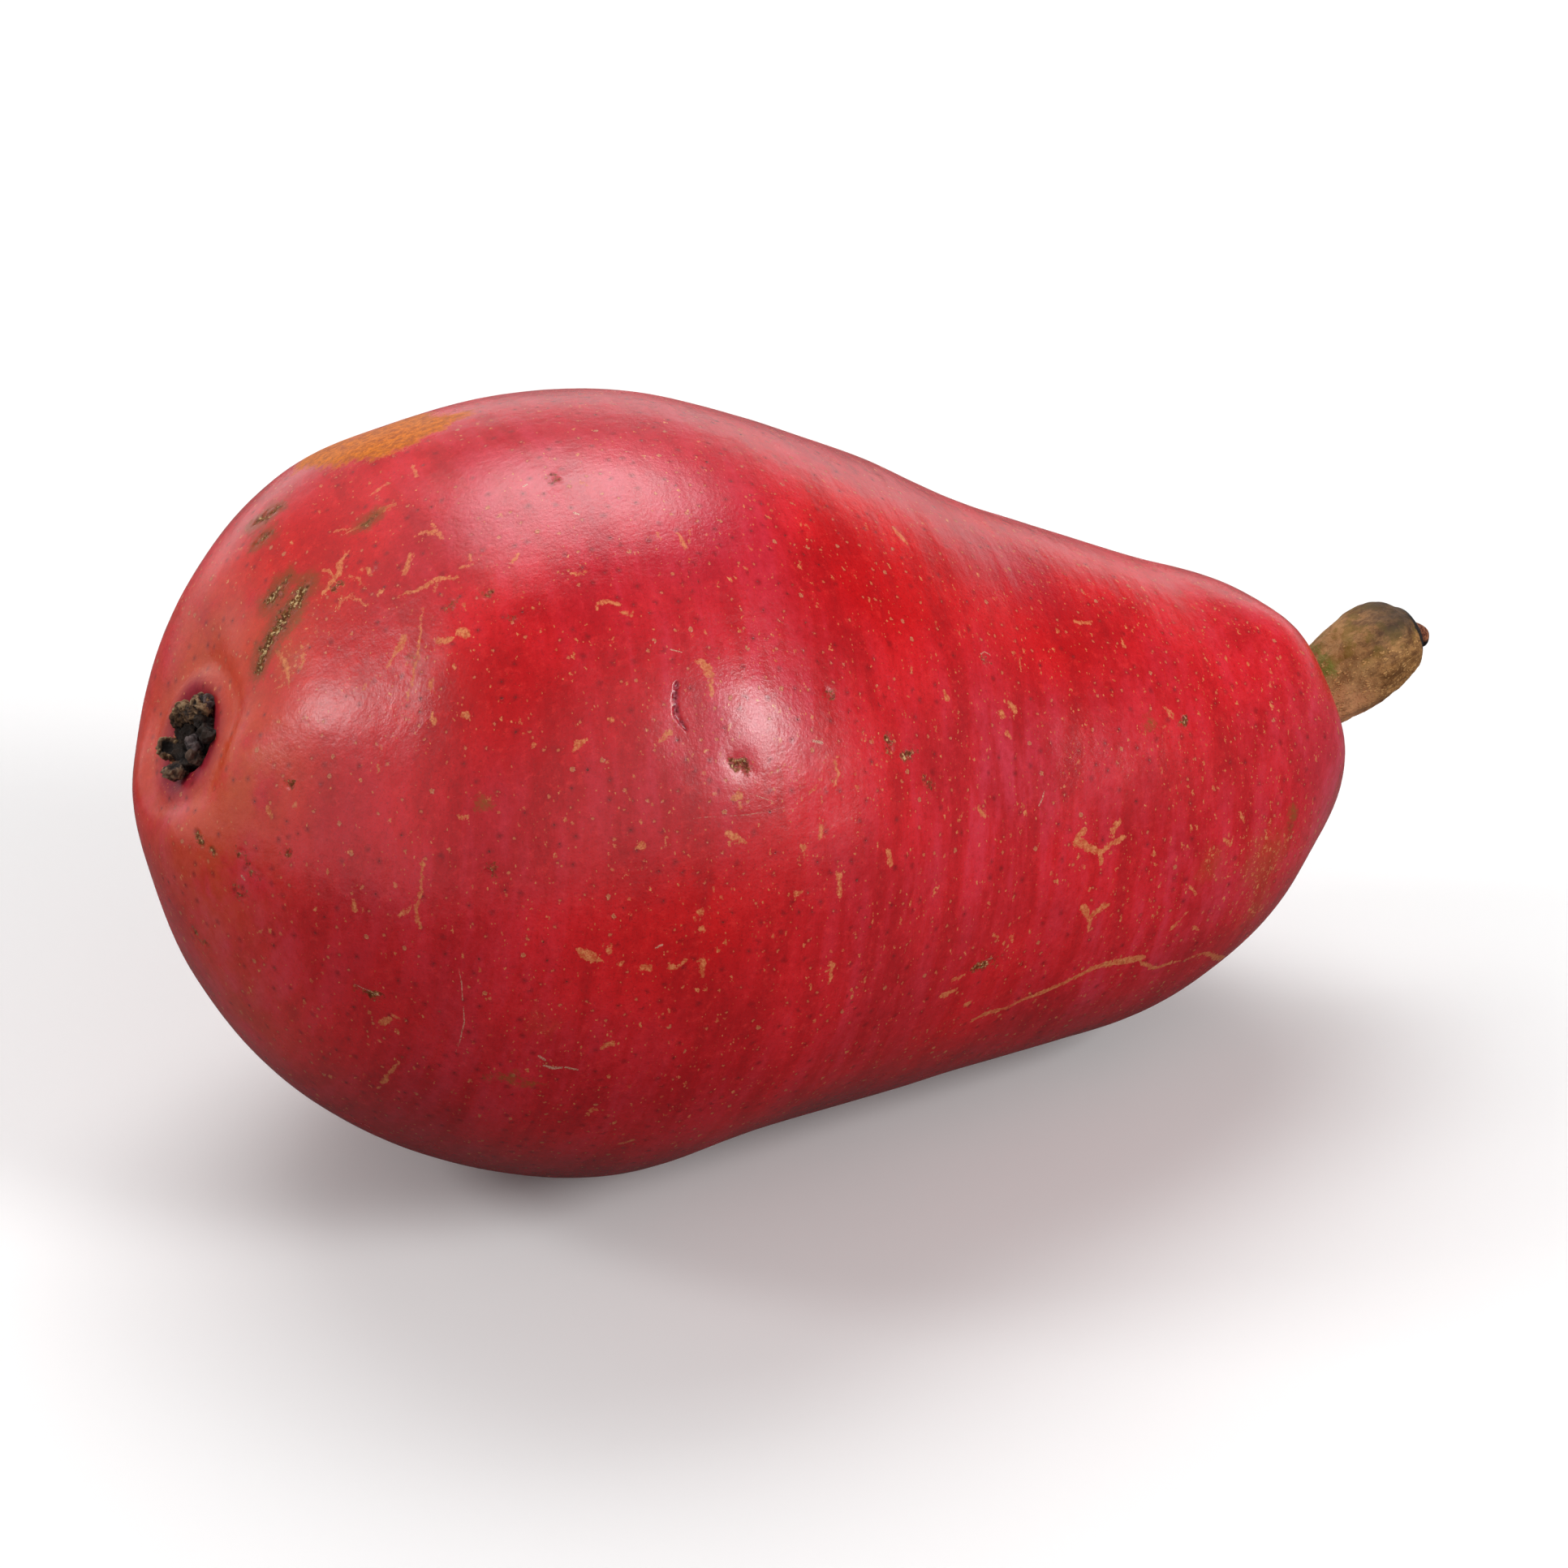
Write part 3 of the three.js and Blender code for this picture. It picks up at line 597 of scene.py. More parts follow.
class Finish(Nodes):
    """A material on places in millimetres, whose colour is laid on in coats."""

    def __init__(self, name):
        self.material = bpy.data.materials.new(name)
        self.material.use_nodes = True
        super().__init__(self.material.node_tree)
        self.surface = self.tree.nodes["Principled BSDF"].inputs
        self.place = self.resized(self.add("TexCoord").outputs["Object"], 1 / MM)

    def resized(self, vector, factor):
        return self.add("VectorMath", {0: vector, "Scale": factor}, operation="SCALE").outputs[0]

    def kept(self, name):
        """A value that painted() kept for the piece."""
        return self.add("Attribute", attribute_name=name).outputs["Fac"]

    def kept_place(self, name):
        return self.add("Attribute", attribute_name=name).outputs["Vector"]

    def cloud(self, size, detail=3.0, roughness=0.55, place=None, colour=False):
        """Uneven noise from 0 to 1, its patches about that many millimetres across."""
        sockets = {"Vector": place or self.place, "Scale": 1 / size, "Detail": detail, "Roughness": roughness}
        return self.add("TexNoise", sockets).outputs["Color" if colour else "Fac"]

    def mix(self, amount, under, over):
        return self.add("Mix", {0: amount, 6: under, 7: over}, data_type="RGBA").outputs[2]

    def tones(self, value, start, end, one, other):
        """Goes from one colour to the other as the value goes from start to end."""
        return self.mix(self.rise(value, start, end), one, other)

    def coat(self, amount, colour, strength=None):
        """Lays a colour over what is there, as far as the amount, or that times a strength, says."""
        if strength is not None:
            amount = self.times(amount, strength)
        self.colour = self.mix(amount, self.colour, colour)

    def cover(self, piece, relief):
        """Ends with the colour and a relief in millimetres, and covers the piece, shaded smooth."""
        self.set(self.surface["Base Color"], self.colour)
        bump = self.add("Bump", {"Strength": 1.0, "Distance": MM, "Height": relief})
        self.set(self.surface["Normal"], bump.outputs[0])
        piece.data.materials.append(self.material)
        select_only(piece)
        bpy.ops.object.shade_smooth()


def paint(red, green, blue):
    """A colour from its three display values, 0 to 255."""
    shares = [value / 255 for value in (red, green, blue)]
    return (*[c / 12.92 if c <= 10 / 255 else ((c + 0.055) / 1.055) ** 2.4 for c in shares], 1.0)


# The red, uneven in patches, in streaks round the pear and in small mottles, with bloom and blush,
# painted reflection haze, a painted sheen tint under the highlights and painted shade in the basin
skin = Finish("red_pear_skin")
grain_place = skin.kept_place("grain")
neck = skin.kept("neck")
gloss_and_sheen_tint = skin.kept("gloss_and_sheen_tint")
streak = skin.cloud(2.2, 5, 0.65, skin.vector("MULTIPLY", grain_place, (1.0, 0.55, 0.55)))
mottle = skin.cloud(0.9, 5, 0.8)
skin.colour = skin.tones(skin.cloud(12, 4), 0.35, 0.68, paint(198, 7, 15), paint(228, 16, 22))
skin.coat(skin.rise(streak, 0.45, 0.72, 0, 0.5), paint(162, 3, 14))
skin.coat(skin.rise(mottle, 0.50, 0.72, 0, 0.5), paint(246, 50, 46))
skin.coat(skin.rise(mottle, 0.48, 0.30, 0, 0.4), paint(158, 2, 12))
skin.coat(skin.rise(skin.cloud(0.2, 2, 0.6), 0.50, 0.75, 0, 0.45), paint(144, 2, 9))
# Bloom and painted reflection haze: a pale purple veil over the red
bloom_and_painted_haze = skin.times(skin.kept("bloom_and_painted_haze"), skin.rise(streak, 0.60, 0.32, 0.2, 1))
bloom_and_painted_haze = skin.times(bloom_and_painted_haze, skin.rise(mottle, 0.3, 0.6, 0.6, 1.15))
skin.coat(bloom_and_painted_haze, paint(234, 70, 96), 0.48)
# Painted sheen tint: a darker purple red under the highlights, where the gloss is above 0
skin.coat(gloss_and_sheen_tint, paint(186, 34, 66), 0.5)
blush = skin.times(skin.kept("blush"), skin.rise(skin.cloud(5, 5, 0.6), 0.25, 0.55))
skin.coat(blush, skin.mix(mottle, paint(192, 46, 7), paint(230, 94, 28)), 0.9)
# Painted shade: dark purple in the basin round the calyx, deepest at the purple shadows round the sepals
hollow = skin.rise(skin.kept("basin"), 3.4, 6.4, 0.85, 0)
skin.coat(hollow, skin.mix(mottle, paint(104, 10, 36), paint(178, 36, 66)))

# Pores: a small brown or tan dot, seldom a pale ring, in a darker halo
pore_gap = skin.vector("DISTANCE", skin.place, skin.kept_place("pore"))
pore_gap = skin.plus(pore_gap, skin.scaled(skin.cloud(0.18, 2), 0.36, -0.18))
pore_kind = skin.kept("pore_kind")
halo = skin.times(skin.rise(pore_gap, 0.02, 0.45, 1, 0), skin.rise(pore_kind, 0, 1, 0.5, 0.2))
skin.coat(halo, paint(112, 4, 10))
pore_size = skin.rise(pore_kind, 0, 1, 0.02, 0.15)
dot = skin.rise(skin.minus(pore_gap, pore_size), -0.05, 0.03, 1, 0)
pale_pore = skin.scaled(neck, 0.35, pore_kind)
skin.coat(dot, skin.tones(pale_pore, 0.5, 0.56, paint(96, 30, 18), paint(214, 116, 72)), 0.8)
ring = skin.rise(skin.maths("ABSOLUTE", skin.minus(pore_gap, 0.16)), 0.01, 0.07, 1, 0)
ring = skin.times(ring, skin.maths("GREATER_THAN", pore_kind, 0.93))
skin.coat(ring, paint(206, 138, 92), 0.6)

# Flecks: small bits of russet, close together on the neck, and smaller ones between them
russet = skin.tones(skin.cloud(0.35, 3, 0.75), 0.35, 0.65, paint(202, 92, 48), paint(238, 152, 96))
warp = skin.cloud(0.7, 3, 0.7, colour=True)
patchy = skin.times(skin.kept("flecks"), skin.rise(skin.cloud(5, 4, 0.6), 0.3, 0.65, 0.3, 1))
fray = skin.scaled(skin.cloud(0.15, 2), 0.3, -0.15)
round_place = skin.vector("MULTIPLY", skin.place, (1.5, 1.0, 1.0))  # flecks run round the pear


def add_flecks(often, scale, warping, size, share, strength):
    """Russet flecks: where they are, how close, bent and large, how many of them and how strong."""
    fleck_place = skin.vector("MULTIPLY_ADD", warp, (warping,) * 3, round_place)
    cells = skin.add("TexVoronoi", {"Vector": fleck_place, "Scale": scale})
    parts = skin.add("SeparateColor", {0: cells.outputs["Color"]}).outputs
    chosen = skin.maths("LESS_THAN", parts[0], skin.times(often, share))
    reach = skin.rise(parts[1], 0, 1, 0.4 * size, size)
    gap = skin.plus(skin.minus(cells.outputs["Distance"], reach), fray)
    fleck = skin.times(skin.rise(gap, -0.10, 0.02, 1, 0), chosen)
    skin.coat(skin.times(fleck, skin.rise(parts[2], 0, 1, 0.5 * strength, strength)), russet)


net_here = skin.rise(skin.scaled(skin.cloud(1.4, 4, 0.7), 1.4, skin.kept("net")), 0.85, 1.7)
skin.coat(net_here, paint(176, 84, 26), 0.35)
add_flecks(patchy, 1.15, 1.3, 0.30, 0.75, 0.95)
add_flecks(patchy, 2.6, 0.5, 0.33, 0.55, 0.85)
add_flecks(net_here, 1.9, 1.6, 0.42, 1.1, 0.9)


def bent(size, reach, place):
    """The place, shifted unevenly by up to half that reach, so that edges drawn on it wander."""
    way = skin.cloud(size, 3, 0.6, colour=True)
    return skin.vector("ADD", place, skin.vector("MULTIPLY_ADD", way, (reach,) * 3, (-reach / 2,) * 3))


def inside_stroke(name, place):
    """How deep inside the nearest stroke of these scars a place is, in millimetres."""
    start = skin.kept_place(name + "_start")
    run = skin.vector("SUBTRACT", skin.kept_place(name + "_end"), start)
    from_start = skin.vector("SUBTRACT", place, start)
    run_run = skin.larger(skin.vector("DOT_PRODUCT", run, run), 0.0001)
    share = skin.maths("DIVIDE", skin.vector("DOT_PRODUCT", from_start, run), run_run)
    share = skin.rise(share, 0, 1, way="LINEAR")
    gap = skin.vector("DISTANCE", from_start, skin.resized(run, share))
    widths = skin.add("SeparateXYZ", {0: skin.kept_place(name + "_width")}).outputs
    return skin.minus(skin.scaled(share, skin.minus(widths[1], widths[0]), widths[0]), gap)


# The scars
ragged = skin.scaled(skin.cloud(0.45, 4, 0.65), 0.7, -0.36)
fringe = skin.plus(skin.cloud(0.25, 4, 0.8), -0.5)
golden_in = skin.scaled(skin.cloud(1.0, 5, 0.8), 5.0, skin.kept("golden"))
golden_here = skin.rise(golden_in, 2.0, 3.2, 0, 0.92)
gold = skin.tones(skin.cloud(0.6, 5, 0.8), 0.35, 0.65, paint(232, 132, 14), paint(170, 80, 4))
skin.coat(golden_here, gold)
olive_in = skin.scaled(skin.cloud(0.8, 4, 0.75), 4.0, skin.kept("olive"))
skin.coat(skin.rise(olive_in, 1.6, 3.0, 0, 0.8), paint(138, 84, 18))
tan_depth = skin.scaled(fringe, 0.5, inside_stroke("tan", bent(0.25, 0.3, bent(0.8, 0.8, skin.place))))
porous = skin.rise(skin.cloud(0.16, 2), 0.36, 0.5, 0.35, 1)
tan_here = skin.times(skin.rise(tan_depth, -0.06, 0.10), porous)
skin.coat(tan_here, russet, 0.92)
groove_in = skin.scaled(ragged, 1.5, skin.kept("groove"))
crust = skin.tones(skin.cloud(0.4, 3, 0.7), 0.42, 0.58, paint(86, 12, 24), paint(184, 78, 96))
skin.coat(skin.rise(groove_in, -0.15, 0.15, 0, 0.75), crust)
stain_in = skin.scaled(skin.cloud(1.3, 5, 0.8), 3.6, skin.kept("stain"))
skin.coat(skin.rise(stain_in, 0.3, 1.6, 0, 0.8), paint(150, 60, 0))
brown_in = skin.scaled(skin.plus(fringe, ragged), 0.8, skin.kept("brown"))
brown_in = skin.scaled(skin.plus(skin.cloud(0.9, 4, 0.75), -0.5), 3.2, brown_in)
brown_here = skin.rise(brown_in, -0.35, 0.35)
cork = skin.tones(skin.cloud(0.3, 3, 0.7), 0.4, 0.7, paint(72, 38, 12), paint(132, 86, 34))
# Painted glints: cream specks along the middle of the brown scars, a painted highlight
painted_glint = skin.times(skin.rise(brown_in, -0.1, 0.4), skin.rise(skin.cloud(0.34, 4, 0.8), 0.52, 0.6))
skin.coat(brown_here, skin.mix(painted_glint, cork, paint(232, 200, 144)), 0.9)
pale_here = skin.rise(skin.scaled(fringe, 0.2, inside_stroke("pale", skin.place)), -0.03, 0.03)
pale = skin.tones(skin.cloud(0.12, 2), 0.4, 0.55, paint(150, 96, 62), paint(228, 190, 160))
skin.coat(pale_here, pale, 0.62)

# Wax: smooth on the red, rougher and duller on the scars and in the basin
rough = skin.scaled(skin.cloud(3, 4, 0.6), 0.16, 0.17)
for dry_part, rougher in ((tan_here, 0.15), (golden_here, 0.2), (brown_here, 0.3), (hollow, 0.25)):
    rough = skin.plus(rough, skin.times(dry_part, rougher))
skin.set(skin.surface["Roughness"], rough)
dull = skin.larger(skin.times(tan_here, 0.6), brown_here)
dull = skin.larger(skin.larger(golden_here, hollow), dull)
level = skin.rise(dull, 0, 1, 0.56, 0.12, way="LINEAR")
skin.set(skin.surface["Specular IOR Level"], skin.times(level, skin.scaled(gloss_and_sheen_tint, 0.7, 1)))

# Relief, in millimetres: uneven skin, its leathery grain, ripples over the waist, pores and scars
ripple_sockets = {0: grain_place, "Rotation": (0, 0, math.radians(35)), "Scale": (1.0, 0.16, 0.3)}
ripple = skin.cloud(1.3, 2, 0.5, skin.add("Mapping", ripple_sockets).outputs[0])
relief = skin.times(skin.cloud(1.8, 3, 0.5), 0.055)
relief = skin.scaled(skin.times(ripple, skin.kept("ripples")), 0.10, relief)
relief = skin.scaled(skin.cloud(0.35, 4, 0.7), skin.scaled(gloss_and_sheen_tint, 0.024, 0.026), relief)
relief = skin.scaled(dot, -0.010, relief)
relief = skin.scaled(ring, 0.012, relief)
scarred = skin.rise(skin.kept("brown"), -0.3, 0.3)
relief = skin.scaled(skin.times(scarred, skin.cloud(0.3, 3, 0.7)), 0.09, relief)
skin.cover(fruit, relief)
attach(fruit, "root")
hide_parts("fruit")


# The stem
# A short thick woody stalk, sunk in the neck. Its bark is brown, olive on the upper side, with
# raised tan lenticels along it, and it ends in the dark scar and the nub where it left the twig.
STEM_BASE = np.array((50.1, 0.0, 28.9))
STEM_LINE = np.array((0.961, 0.0, 0.276))
STEM_UP = np.array((-0.276, 0.0, 0.961))
STEM_ROUNDING = 3
# Pairs along the stem: how many millimetres from its base, and the value there
RIDGED = [(-2, 0), (0.5, 1), (7.5, 1), (8.8, 0)]  # where its bark has ridges
MIDDLE = [(0, 0), (3, 0.6), (5, 0.85), (7, 1.0), (9, 1.4), (10, 1.1)]  # how high its middle is
FULLER = [(1, 0), (2.4, 0.05), (4, 0.09), (5.5, 0.10), (7.1, 0.05), (8.3, 0.07), (8.9, 0.06),
          (9.4, 0.02), (11, -0.45)]  # the share by which it is thicker than its solid
RAISED = [(-1, 0), (0.5, 0.2), (2.5, 0.45), (4.5, 0.6), (6.5, 0.65), (7.8, 0.5), (8.3, 0.3),
          (8.9, 0.13), (9.5, -0.1), (10, -0.4), (11, -1.0)]  # how far it bends up
SADDLE = [(6.8, 0), (8.6, 0.35), (9.2, 0)]  # how deep its upper side dips before the scar
RIDGE_COUNT, RIDGE_HEIGHT = 9, 0.08
END_START, END_SHORTER = 9.3, 0.1

stem = welded_copy("stem", "pear_stem")
round_off(stem, STEM_ROUNDING)
places = places_of(stem)
along_stem = (places - STEM_BASE) @ STEM_LINE
above = (places - STEM_BASE) @ STEM_UP
side = places[:, 1]


def profile(pairs):
    return np.interp(along_stem, *zip(*pairs))


ridges = RIDGE_HEIGHT * np.sin(RIDGE_COUNT * np.arctan2(side, above) + 2.0 * lumps(places, 3.0))
ridges += 0.14 * lumps(places, 1.7, 4.0)
ridges += 0.06 * lumps(places, 0.6, 9.0)
moved = places + normals_of(stem) * (ridges * profile(RIDGED))[:, None]
fuller = profile(FULLER)
moved += (fuller * (above - profile(MIDDLE)))[:, None] * STEM_UP
moved[:, 1] += fuller * side
raised = profile(RAISED) - profile(SADDLE) * np.clip(above / 3, 0, 1)
moved += raised[:, None] * STEM_UP
moved -= (END_SHORTER * np.maximum(along_stem - END_START, 0))[:, None] * STEM_LINE
put_places(stem, moved)
painted(stem, "upper", np.clip(above / 4, -1, 1))
painted(stem, "along", along_stem)

bark = Finish("stem_bark")
axis_turn = {0: bark.place, "Rotation": (0, math.radians(16), 0)}
axis_place = bark.add("Mapping", axis_turn, vector_type="POINT").outputs[0]
upper = bark.kept("upper")
along = bark.kept("along")
grained = bark.cloud(0.9, 5, 0.75, bark.vector("MULTIPLY", axis_place, (0.5, 1.0, 1.0)))
bark.colour = bark.tones(grained, 0.36, 0.64, paint(112, 72, 36), paint(186, 134, 80))
bark.coat(bark.rise(bark.cloud(0.3, 3, 0.7), 0.48, 0.68, 0, 0.5), paint(86, 54, 30))
tan_part = bark.times(bark.rise(along, 5.0, 1.5), bark.rise(upper, -0.3, 0.4))
bark.coat(tan_part, paint(178, 138, 88), bark.rise(grained, 0.3, 0.6, 0.3, 0.8))
# Painted light: the lower side near the base lighter and pinker, for the light the fruit throws back
painted_bounce_light = bark.times(bark.rise(along, 4.5, 0.5), bark.rise(upper, 0.6, 0.0))
bark.coat(painted_bounce_light, paint(218, 158, 112), bark.rise(grained, 0.3, 0.6, 0.2, 0.8))
olive_part = bark.times(bark.rise(upper, 0.35, 0.8), bark.rise(bark.cloud(1.2, 4), 0.45, 0.6))
bark.coat(olive_part, paint(124, 100, 28), 0.6)
green_part = bark.times(bark.rise(along, 0.6, 0.2), bark.rise(upper, 0.5, 0.7))
green_part = bark.times(green_part, bark.rise(bark.cloud(0.8, 3), 0.42, 0.55))
bark.coat(green_part, paint(108, 128, 44), 0.6)


def add_lenticels(closeness, size, share):
    """Small raised tan pores of the bark, longer than wide; says where they are."""
    dash_place = bark.vector("MULTIPLY", axis_place, (0.55 * closeness, closeness, closeness))
    dash_place = bark.vector("MULTIPLY_ADD", bark.cloud(0.8, 2, colour=True), (0.7, 0.7, 0.7), dash_place)
    cells = bark.add("TexVoronoi", {"Vector": dash_place, "Scale": 1.0})
    parts = bark.add("SeparateColor", {0: cells.outputs["Color"]}).outputs
    reach = bark.rise(parts[1], 0, 1, 0.5 * size, size)
    dash = bark.rise(bark.minus(cells.outputs["Distance"], reach), -0.10, 0.04, 1, 0)
    often = bark.rise(upper, 0.85, 0.45, 0.05, share)
    often = bark.times(often, bark.rise(bark.cloud(1.4, 3), 0.3, 0.55, 0.3, 1))
    dash = bark.times(dash, bark.maths("LESS_THAN", parts[0], often))
    bark.coat(dash, paint(220, 166, 104), 0.65)
    return dash


large_dash = add_lenticels(2.6, 0.34, 0.8)
small_dash = add_lenticels(4.5, 0.42, 1.0)
dark_end = bark.times(bark.rise(along, 2.0, 8.0), bark.rise(upper, 0.55, 0.95))
bark.coat(dark_end, paint(56, 46, 40), 0.8)
scar_in = bark.plus(along, bark.times(bark.cloud(0.8, 3), 0.5))
bark.coat(bark.rise(scar_in, 9.0, 9.25), paint(24, 14, 12))
nub_rim = bark.larger(bark.rise(along, 10.2, 10.5), bark.rise(upper, 0.15, 0.3))
nub_rim = bark.times(bark.rise(along, 9.5, 9.7), nub_rim)
nub = bark.tones(bark.cloud(0.5, 4, 0.7), 0.4, 0.6, paint(84, 34, 20), paint(178, 110, 72))
bark.coat(nub_rim, nub)
bark.surface["Roughness"].default_value = 0.58
bark.surface["Specular IOR Level"].default_value = 0.25
bark_relief = bark.times(bark.cloud(0.4, 4, 0.65), 0.10)
bark.cover(stem, bark.scaled(bark.larger(large_dash, small_dash), 0.05, bark_relief))
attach(stem, "root")
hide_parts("stem")


# The calyx
# What is left of the flower: a dry tube on the basin's floor, with five crumpled sepals that curl
# over outwards, and the withered stamens inside. One grown piece, dark brown with tan rims and
# ridges, darker in the valleys of its folds and in its hollows as painted shade, and paler on its
# highest ridges as painted highlight.
calyx_turn = Matrix((BASIN_NEAR, BASIN_OUT.cross(BASIN_NEAR), BASIN_OUT)).transposed().to_4x4()
calyx_place = Matrix.Translation(BASIN_RIM * MM) @ calyx_turn
TUBE_RADIUS = 2.35
TUBE_DEPTH = 3.6  # from the rim of the basin down to the tube's root
# How far up each ring of the tube is pulled, and the share of the last one's width it keeps
TUBE_RINGS = [(2.0, 1.0), (0.6, 0.98), (0.35, 0.9), (-0.3, 0.82), (-0.6, 0.8), (-0.2, 0.3)]
TUBE_LUMPS = 0.2
STAMEN_COUNT = 14
STAMEN_RADIUS = 0.12
STAMEN_ROOT = -2.3
STAMEN_STEPS, STEP_RISE, STEP_SWAY = 5, 0.32, 0.25
ANTHER_STEP, ANTHER_WIDER, STAMEN_THINNER = 3, 1.3, 0.9

# The lumps of the dried sepals: the pixel where each shows, how far out of the basin's rim it
# stands, half its sizes towards the camera, up and out in mm, how hollow it is, its tone from
# dark to tan, and how grey it is. The near-black tones of the lumps in and under the hole and on
# the right, with its tip, are painted shade.
SEPALS = [
    (247, 870, 0.35, (0.9, 0.75, 0.7), 0.3, 0.8, 0.05),  # top
    (254, 868, 0.1, (0.6, 0.5, 0.45), 0.3, 0.3, 0.5),  # its corner
    (226, 879, 0.4, (0.85, 0.7, 0.5), 0.5, 0.8, 0.0),  # top left
    (219, 888, 0.35, (0.6, 0.4, 0.4), 0.3, 0.5, 0.0),  # its foot
    (230, 901, -0.4, (1.3, 0.9, 0.5), 0.6, 0.15, 0.0),  # in the hole
    (236, 880, 0.3, (0.8, 0.5, 0.5), 0.3, 0.65, 0.0),  # over the hole
    (251, 893, -0.1, (0.9, 0.75, 0.75), 0.4, 0.12, 0.0),  # right
    (257, 904, 0.0, (0.8, 0.45, 0.5), 0.0, 0.08, 0.0),  # its tip
    (237, 917, 0.25, (0.7, 0.4, 0.6), 0.3, 0.5, 0.75),  # grey plate
    (243, 934, -0.1, (0.35, 0.25, 0.7), 0.0, 0.5, 0.2),  # its strand
    (208, 922, 0.25, (0.85, 0.75, 0.65), 1.3, 0.9, 0.0),  # left ear
    (217, 948, 0.2, (0.8, 0.8, 0.95), 0.8, 0.7, 0.2),  # bottom
    (227, 930, -0.5, (1.4, 0.9, 0.5), 0.5, 0.1, 0.0),  # under the hole
]
SEPAL_FOLDS = [(1.2, 0.22), (0.5, 0.20), (0.24, 0.10), (0.12, 0.04)]  # their size and depth in mm
SEPAL_UPTURN = 1.6  # how far out their hollows face, against how far in


def grown(piece, tone, grey=0.0, ridge=0.0):
    """Keeps the tone, the greyness and the folds of a part of the calyx for its material."""
    for name, value in {"tone": tone, "grey": grey, "ridge": ridge}.items():
        painted(piece, name, np.full(len(piece.data.vertices), 1.0) * value)


def disc(vertices, radius, middle):
    """Starts a part of the calyx as a disc, all of it selected, ready to be pulled."""
    bpy.ops.object.select_all(action="DESELECT")
    bpy.ops.mesh.primitive_circle_add(vertices=vertices, radius=radius * MM, fill_type="NGON",
                                      location=[m * MM for m in middle])
    bpy.ops.object.transform_apply()
    bpy.ops.object.mode_set(mode="EDIT")
    bpy.ops.mesh.select_all(action="SELECT")
    return bpy.context.object


def pulled(move, width, middle):
    """Extrudes the selected end by this much and narrows it about the middle of its new place."""
    bpy.ops.mesh.extrude_region_move(TRANSFORM_OT_translate={"value": [m * MM for m in move]})
    bpy.ops.transform.resize(value=(width, width, width), center_override=[m * MM for m in middle])


def over_basin(x, y, out):
    """The place that shows at this pixel of the frame and is this far out from the basin's rim."""
    look = sight(x, y)
    reach = (BASIN_RIM + BASIN_OUT * out - camera_place).dot(BASIN_OUT) / look.dot(BASIN_OUT)
    return calyx_place.inverted() @ ((camera_place + look * reach) * MM) / MM


def dried_sepal(number, x, y, out, sizes, hollow, tone, grey):
    """A sepal that has dried up to a crumpled lump, hollow towards the flower's middle."""
    bpy.ops.object.select_all(action="DESELECT")
    bpy.ops.mesh.primitive_ico_sphere_add(subdivisions=5, radius=1.0 * MM)
    lump = bpy.context.object
    heart = over_basin(x, y, out)
    inwards = np.array(Vector((-heart.x, -heart.y, SEPAL_UPTURN + heart.z)).normalized())
    ball = places_of(lump)
    facing = np.clip(ball @ inwards, 0, 1)
    cup = np.clip(hollow * facing, 0, 1)
    ridge = np.zeros(len(ball))
    for size, depth in SEPAL_FOLDS:
        fold = 1 - 2.6 * np.abs(lumps(ball * sizes, size, 3.0 + 7 * number))
        ridge += depth * (1 - 0.7 * cup) * fold
    p = (ball - inwards * (hollow * facing ** 1.5)[:, None]) * sizes
    put_places(lump, p)
    put_places(lump, p + normals_of(lump) * ridge[:, None] + np.array(heart))
    # Inside its hollow the tone goes dark: painted shade
    grown(lump, tone * (1 - np.clip(cup - 0.3, 0, 0.6) / 0.6), grey, ridge / 0.3)
    return lump


calyx_pieces = [dried_sepal(number, *shape) for number, shape in enumerate(SEPALS)]

tube = disc(20, TUBE_RADIUS, (0, 0, -TUBE_DEPTH))
bpy.ops.mesh.normals_make_consistent(inside=False)
for height, width in TUBE_RINGS:
    pulled((0, 0, height), width, (0, 0, 0))
bpy.ops.object.mode_set(mode="OBJECT")
grown(tube, 0.1)
round_off(tube, 2)
p = places_of(tube)
put_places(tube, p + normals_of(tube) * (TUBE_LUMPS * lumps(p, 0.8, 2.0))[:, None])
calyx_pieces.append(tube)

for number in range(STAMEN_COUNT):
    turn = 2 * math.pi * number / STAMEN_COUNT + 0.5 * random.random()
    spread = 0.4 + 0.7 * random.random()
    here = Vector((spread * math.cos(turn), spread * math.sin(turn), STAMEN_ROOT))
    stamen = disc(6, STAMEN_RADIUS, (spread * math.cos(turn), spread * math.sin(turn), STAMEN_ROOT))
    for step in range(STAMEN_STEPS):
        sway = [random.uniform(-STEP_SWAY, STEP_SWAY) for _ in range(2)]
        move = Vector((*sway, STEP_RISE))
        here += move
        pulled(move, ANTHER_WIDER if step == ANTHER_STEP else STAMEN_THINNER, here)
    bpy.ops.object.mode_set(mode="OBJECT")
    grown(stamen, 2.0)
    round_off(stamen, 1)
    calyx_pieces.append(stamen)

bpy.ops.object.select_all(action="DESELECT")
for piece in calyx_pieces:
    piece.select_set(True)
bpy.context.view_layer.objects.active = calyx_pieces[0]
bpy.ops.object.join()
calyx = bpy.context.object
calyx.name = calyx.data.name = "pear_calyx"
calyx.data.transform(calyx_place)
bpy.ops.object.mode_set(mode="EDIT")
bpy.ops.mesh.select_all(action="SELECT")
bpy.ops.mesh.normals_make_consistent(inside=False)
bpy.ops.object.mode_set(mode="OBJECT")

dried = Finish("dried_flower")
tone = dried.kept("tone")
blotch = dried.cloud(0.5, 4, 0.7)
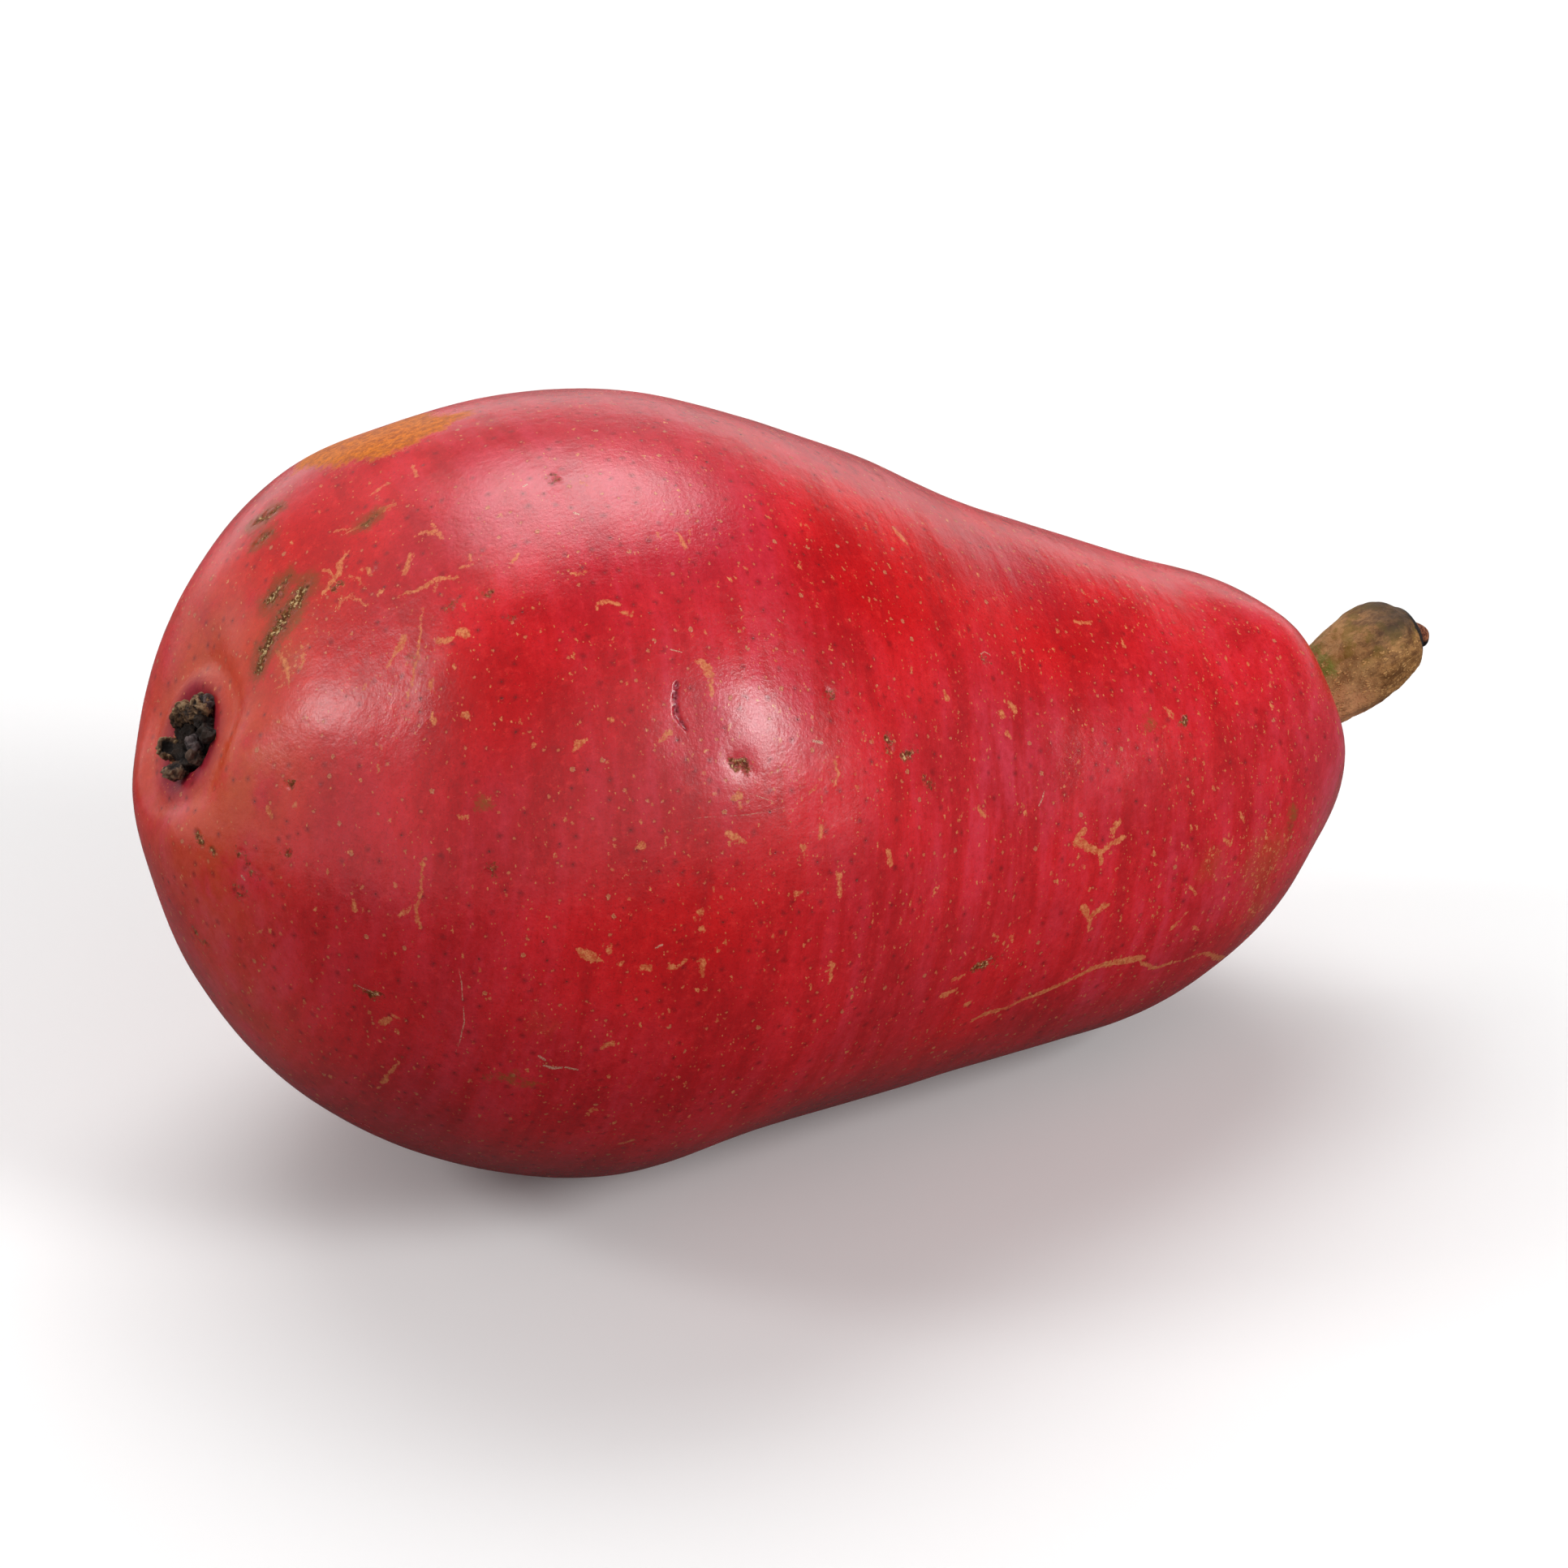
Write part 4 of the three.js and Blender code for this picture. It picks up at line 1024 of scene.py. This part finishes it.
# Tan on the ridges of the folds and near black in their valleys, partly painted shade; the highest ridges
# paler, a painted highlight; the grey plates lighter on their ridges in the same way
ridge = dried.scaled(dried.kept("ridge"), 0.28, blotch)
tan_ridges_and_shade = dried.times(dried.rise(ridge, 0.45, 0.95), dried.maths("MINIMUM", tone, 1.0))
dried.colour = dried.mix(tan_ridges_and_shade, paint(26, 14, 9), paint(138, 92, 52))
dried.coat(dried.rise(ridge, 0.72, 0.9), paint(196, 164, 122), dried.rise(tone, 0.5, 0.9, 0, 0.6))
ashes = dried.tones(ridge, 0.4, 0.9, paint(42, 34, 36), paint(122, 110, 114))
dried.coat(dried.kept("grey"), ashes, 0.85)
dried.coat(dried.rise(tone, 1.4, 1.6), dried.mix(blotch, paint(70, 12, 14), paint(168, 66, 70)))
dried.surface["Roughness"].default_value = 0.75
dried.cover(calyx, dried.times(dried.cloud(0.3, 5, 0.8), 0.2))
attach(calyx, "root")
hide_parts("calyx")


# The surface it lies on, and the light
# A plain pale table under soft studio light: three soft lights over and behind the pear, one at
# each side of it, and a dim glow from behind, from the left and from the front.
TABLE_RADIUS = 0.8
TABLE_DROP = 0.05  # mm under the pear, so that the two never share a plane
bpy.ops.mesh.primitive_circle_add(vertices=96, radius=TABLE_RADIUS, fill_type="NGON",
                                  location=(0, 0, -TABLE_DROP * MM))
table = bpy.context.object
table.name = "table"
table_top = Finish("pale_table")
table_seen = table_top.add("BsdfDiffuse", {"Color": (0.99, 0.99, 0.99, 1)})
table_lit = table_top.add("BsdfDiffuse", {"Color": (0.15, 0.15, 0.15, 1)})
ray = table_top.add("LightPath").outputs["Is Camera Ray"]
table_mix = table_top.add("MixShader", {0: ray, 1: table_lit.outputs[0], 2: table_seen.outputs[0]})
table_top.set(table_top.tree.nodes["Material Output"].inputs["Surface"], table_mix.outputs[0])
table.data.materials.append(table_top.material)


def soft_light(name, sideways, backwards, upwards, wide, tall, radiance):
    """A lit rectangle at this place from the pear, as the camera sees left, away and up."""
    place = camera_right * sideways - camera_level * backwards + Vector((0, 0, upwards))
    facing = place.normalized().to_track_quat("Z", "Y")
    bpy.ops.object.light_add(type="AREA", location=place, rotation=facing.to_euler())
    light = bpy.context.object
    light.name = name
    light.data.shape = "RECTANGLE"
    light.data.size = wide
    light.data.size_y = tall
    light.data.energy = radiance * math.pi * wide * tall


soft_light("light_over", -0.15, 0.52, 1.0, 1.0, 0.8, 1.3)
soft_light("light_over_middle", -0.15, 0.60, 0.98, 0.85, 0.58, 2.3)
soft_light("light_over_right", 0.25, 0.55, 0.95, 0.3, 0.6, 1.4)
soft_light("light_right", 0.75, -0.41, 0.53, 0.28, 0.38, 14)
soft_light("light_left", -0.83, -0.07, 0.56, 0.21, 0.21, 12)

world = bpy.data.worlds.new("studio")
bpy.context.scene.world = world
world.use_nodes = True
sky = Nodes(world.node_tree)
direction = sky.add("TexCoord").outputs["Generated"]


def glow(middle, start, end, low, high):
    """Goes smoothly from low to high as the direction turns towards the middle of a glow."""
    return sky.rise(sky.vector("DOT_PRODUCT", direction, middle), start, end, low, high)


front = (camera_level * 0.81 + camera_right * 0.47 + Vector((0, 0, 0.34))).normalized()
back_glow = sky.times(glow((0, 0, 1), 0.32, -0.05, 0, 1), glow(-camera_level, 0.45, 0.95, 0.1, 1.35))
front_glow = sky.times(glow((0, 0, 1), -0.15, 0.25, 0, 1), glow(front, 0.5, 1.0, 0.0, 0.55))
left_glow = glow(-camera_right, 0.1, 1.0, 0.12, 0.72)
glows = sky.plus(sky.plus(back_glow, left_glow), front_glow)
seen = sky.add("LightPath").outputs["Is Camera Ray"]  # the camera sees plain white
background = sky.tree.nodes["Background"].inputs
sky.set(background["Strength"], sky.add("Mix", {0: seen, 2: glows, 3: 1.0}).outputs[0])
background["Color"].default_value = (1, 1, 1, 1)

bpy.context.scene.view_settings.view_transform = "Standard"
bpy.context.scene.view_settings.look = "None"

bpy.context.view_layer.update()
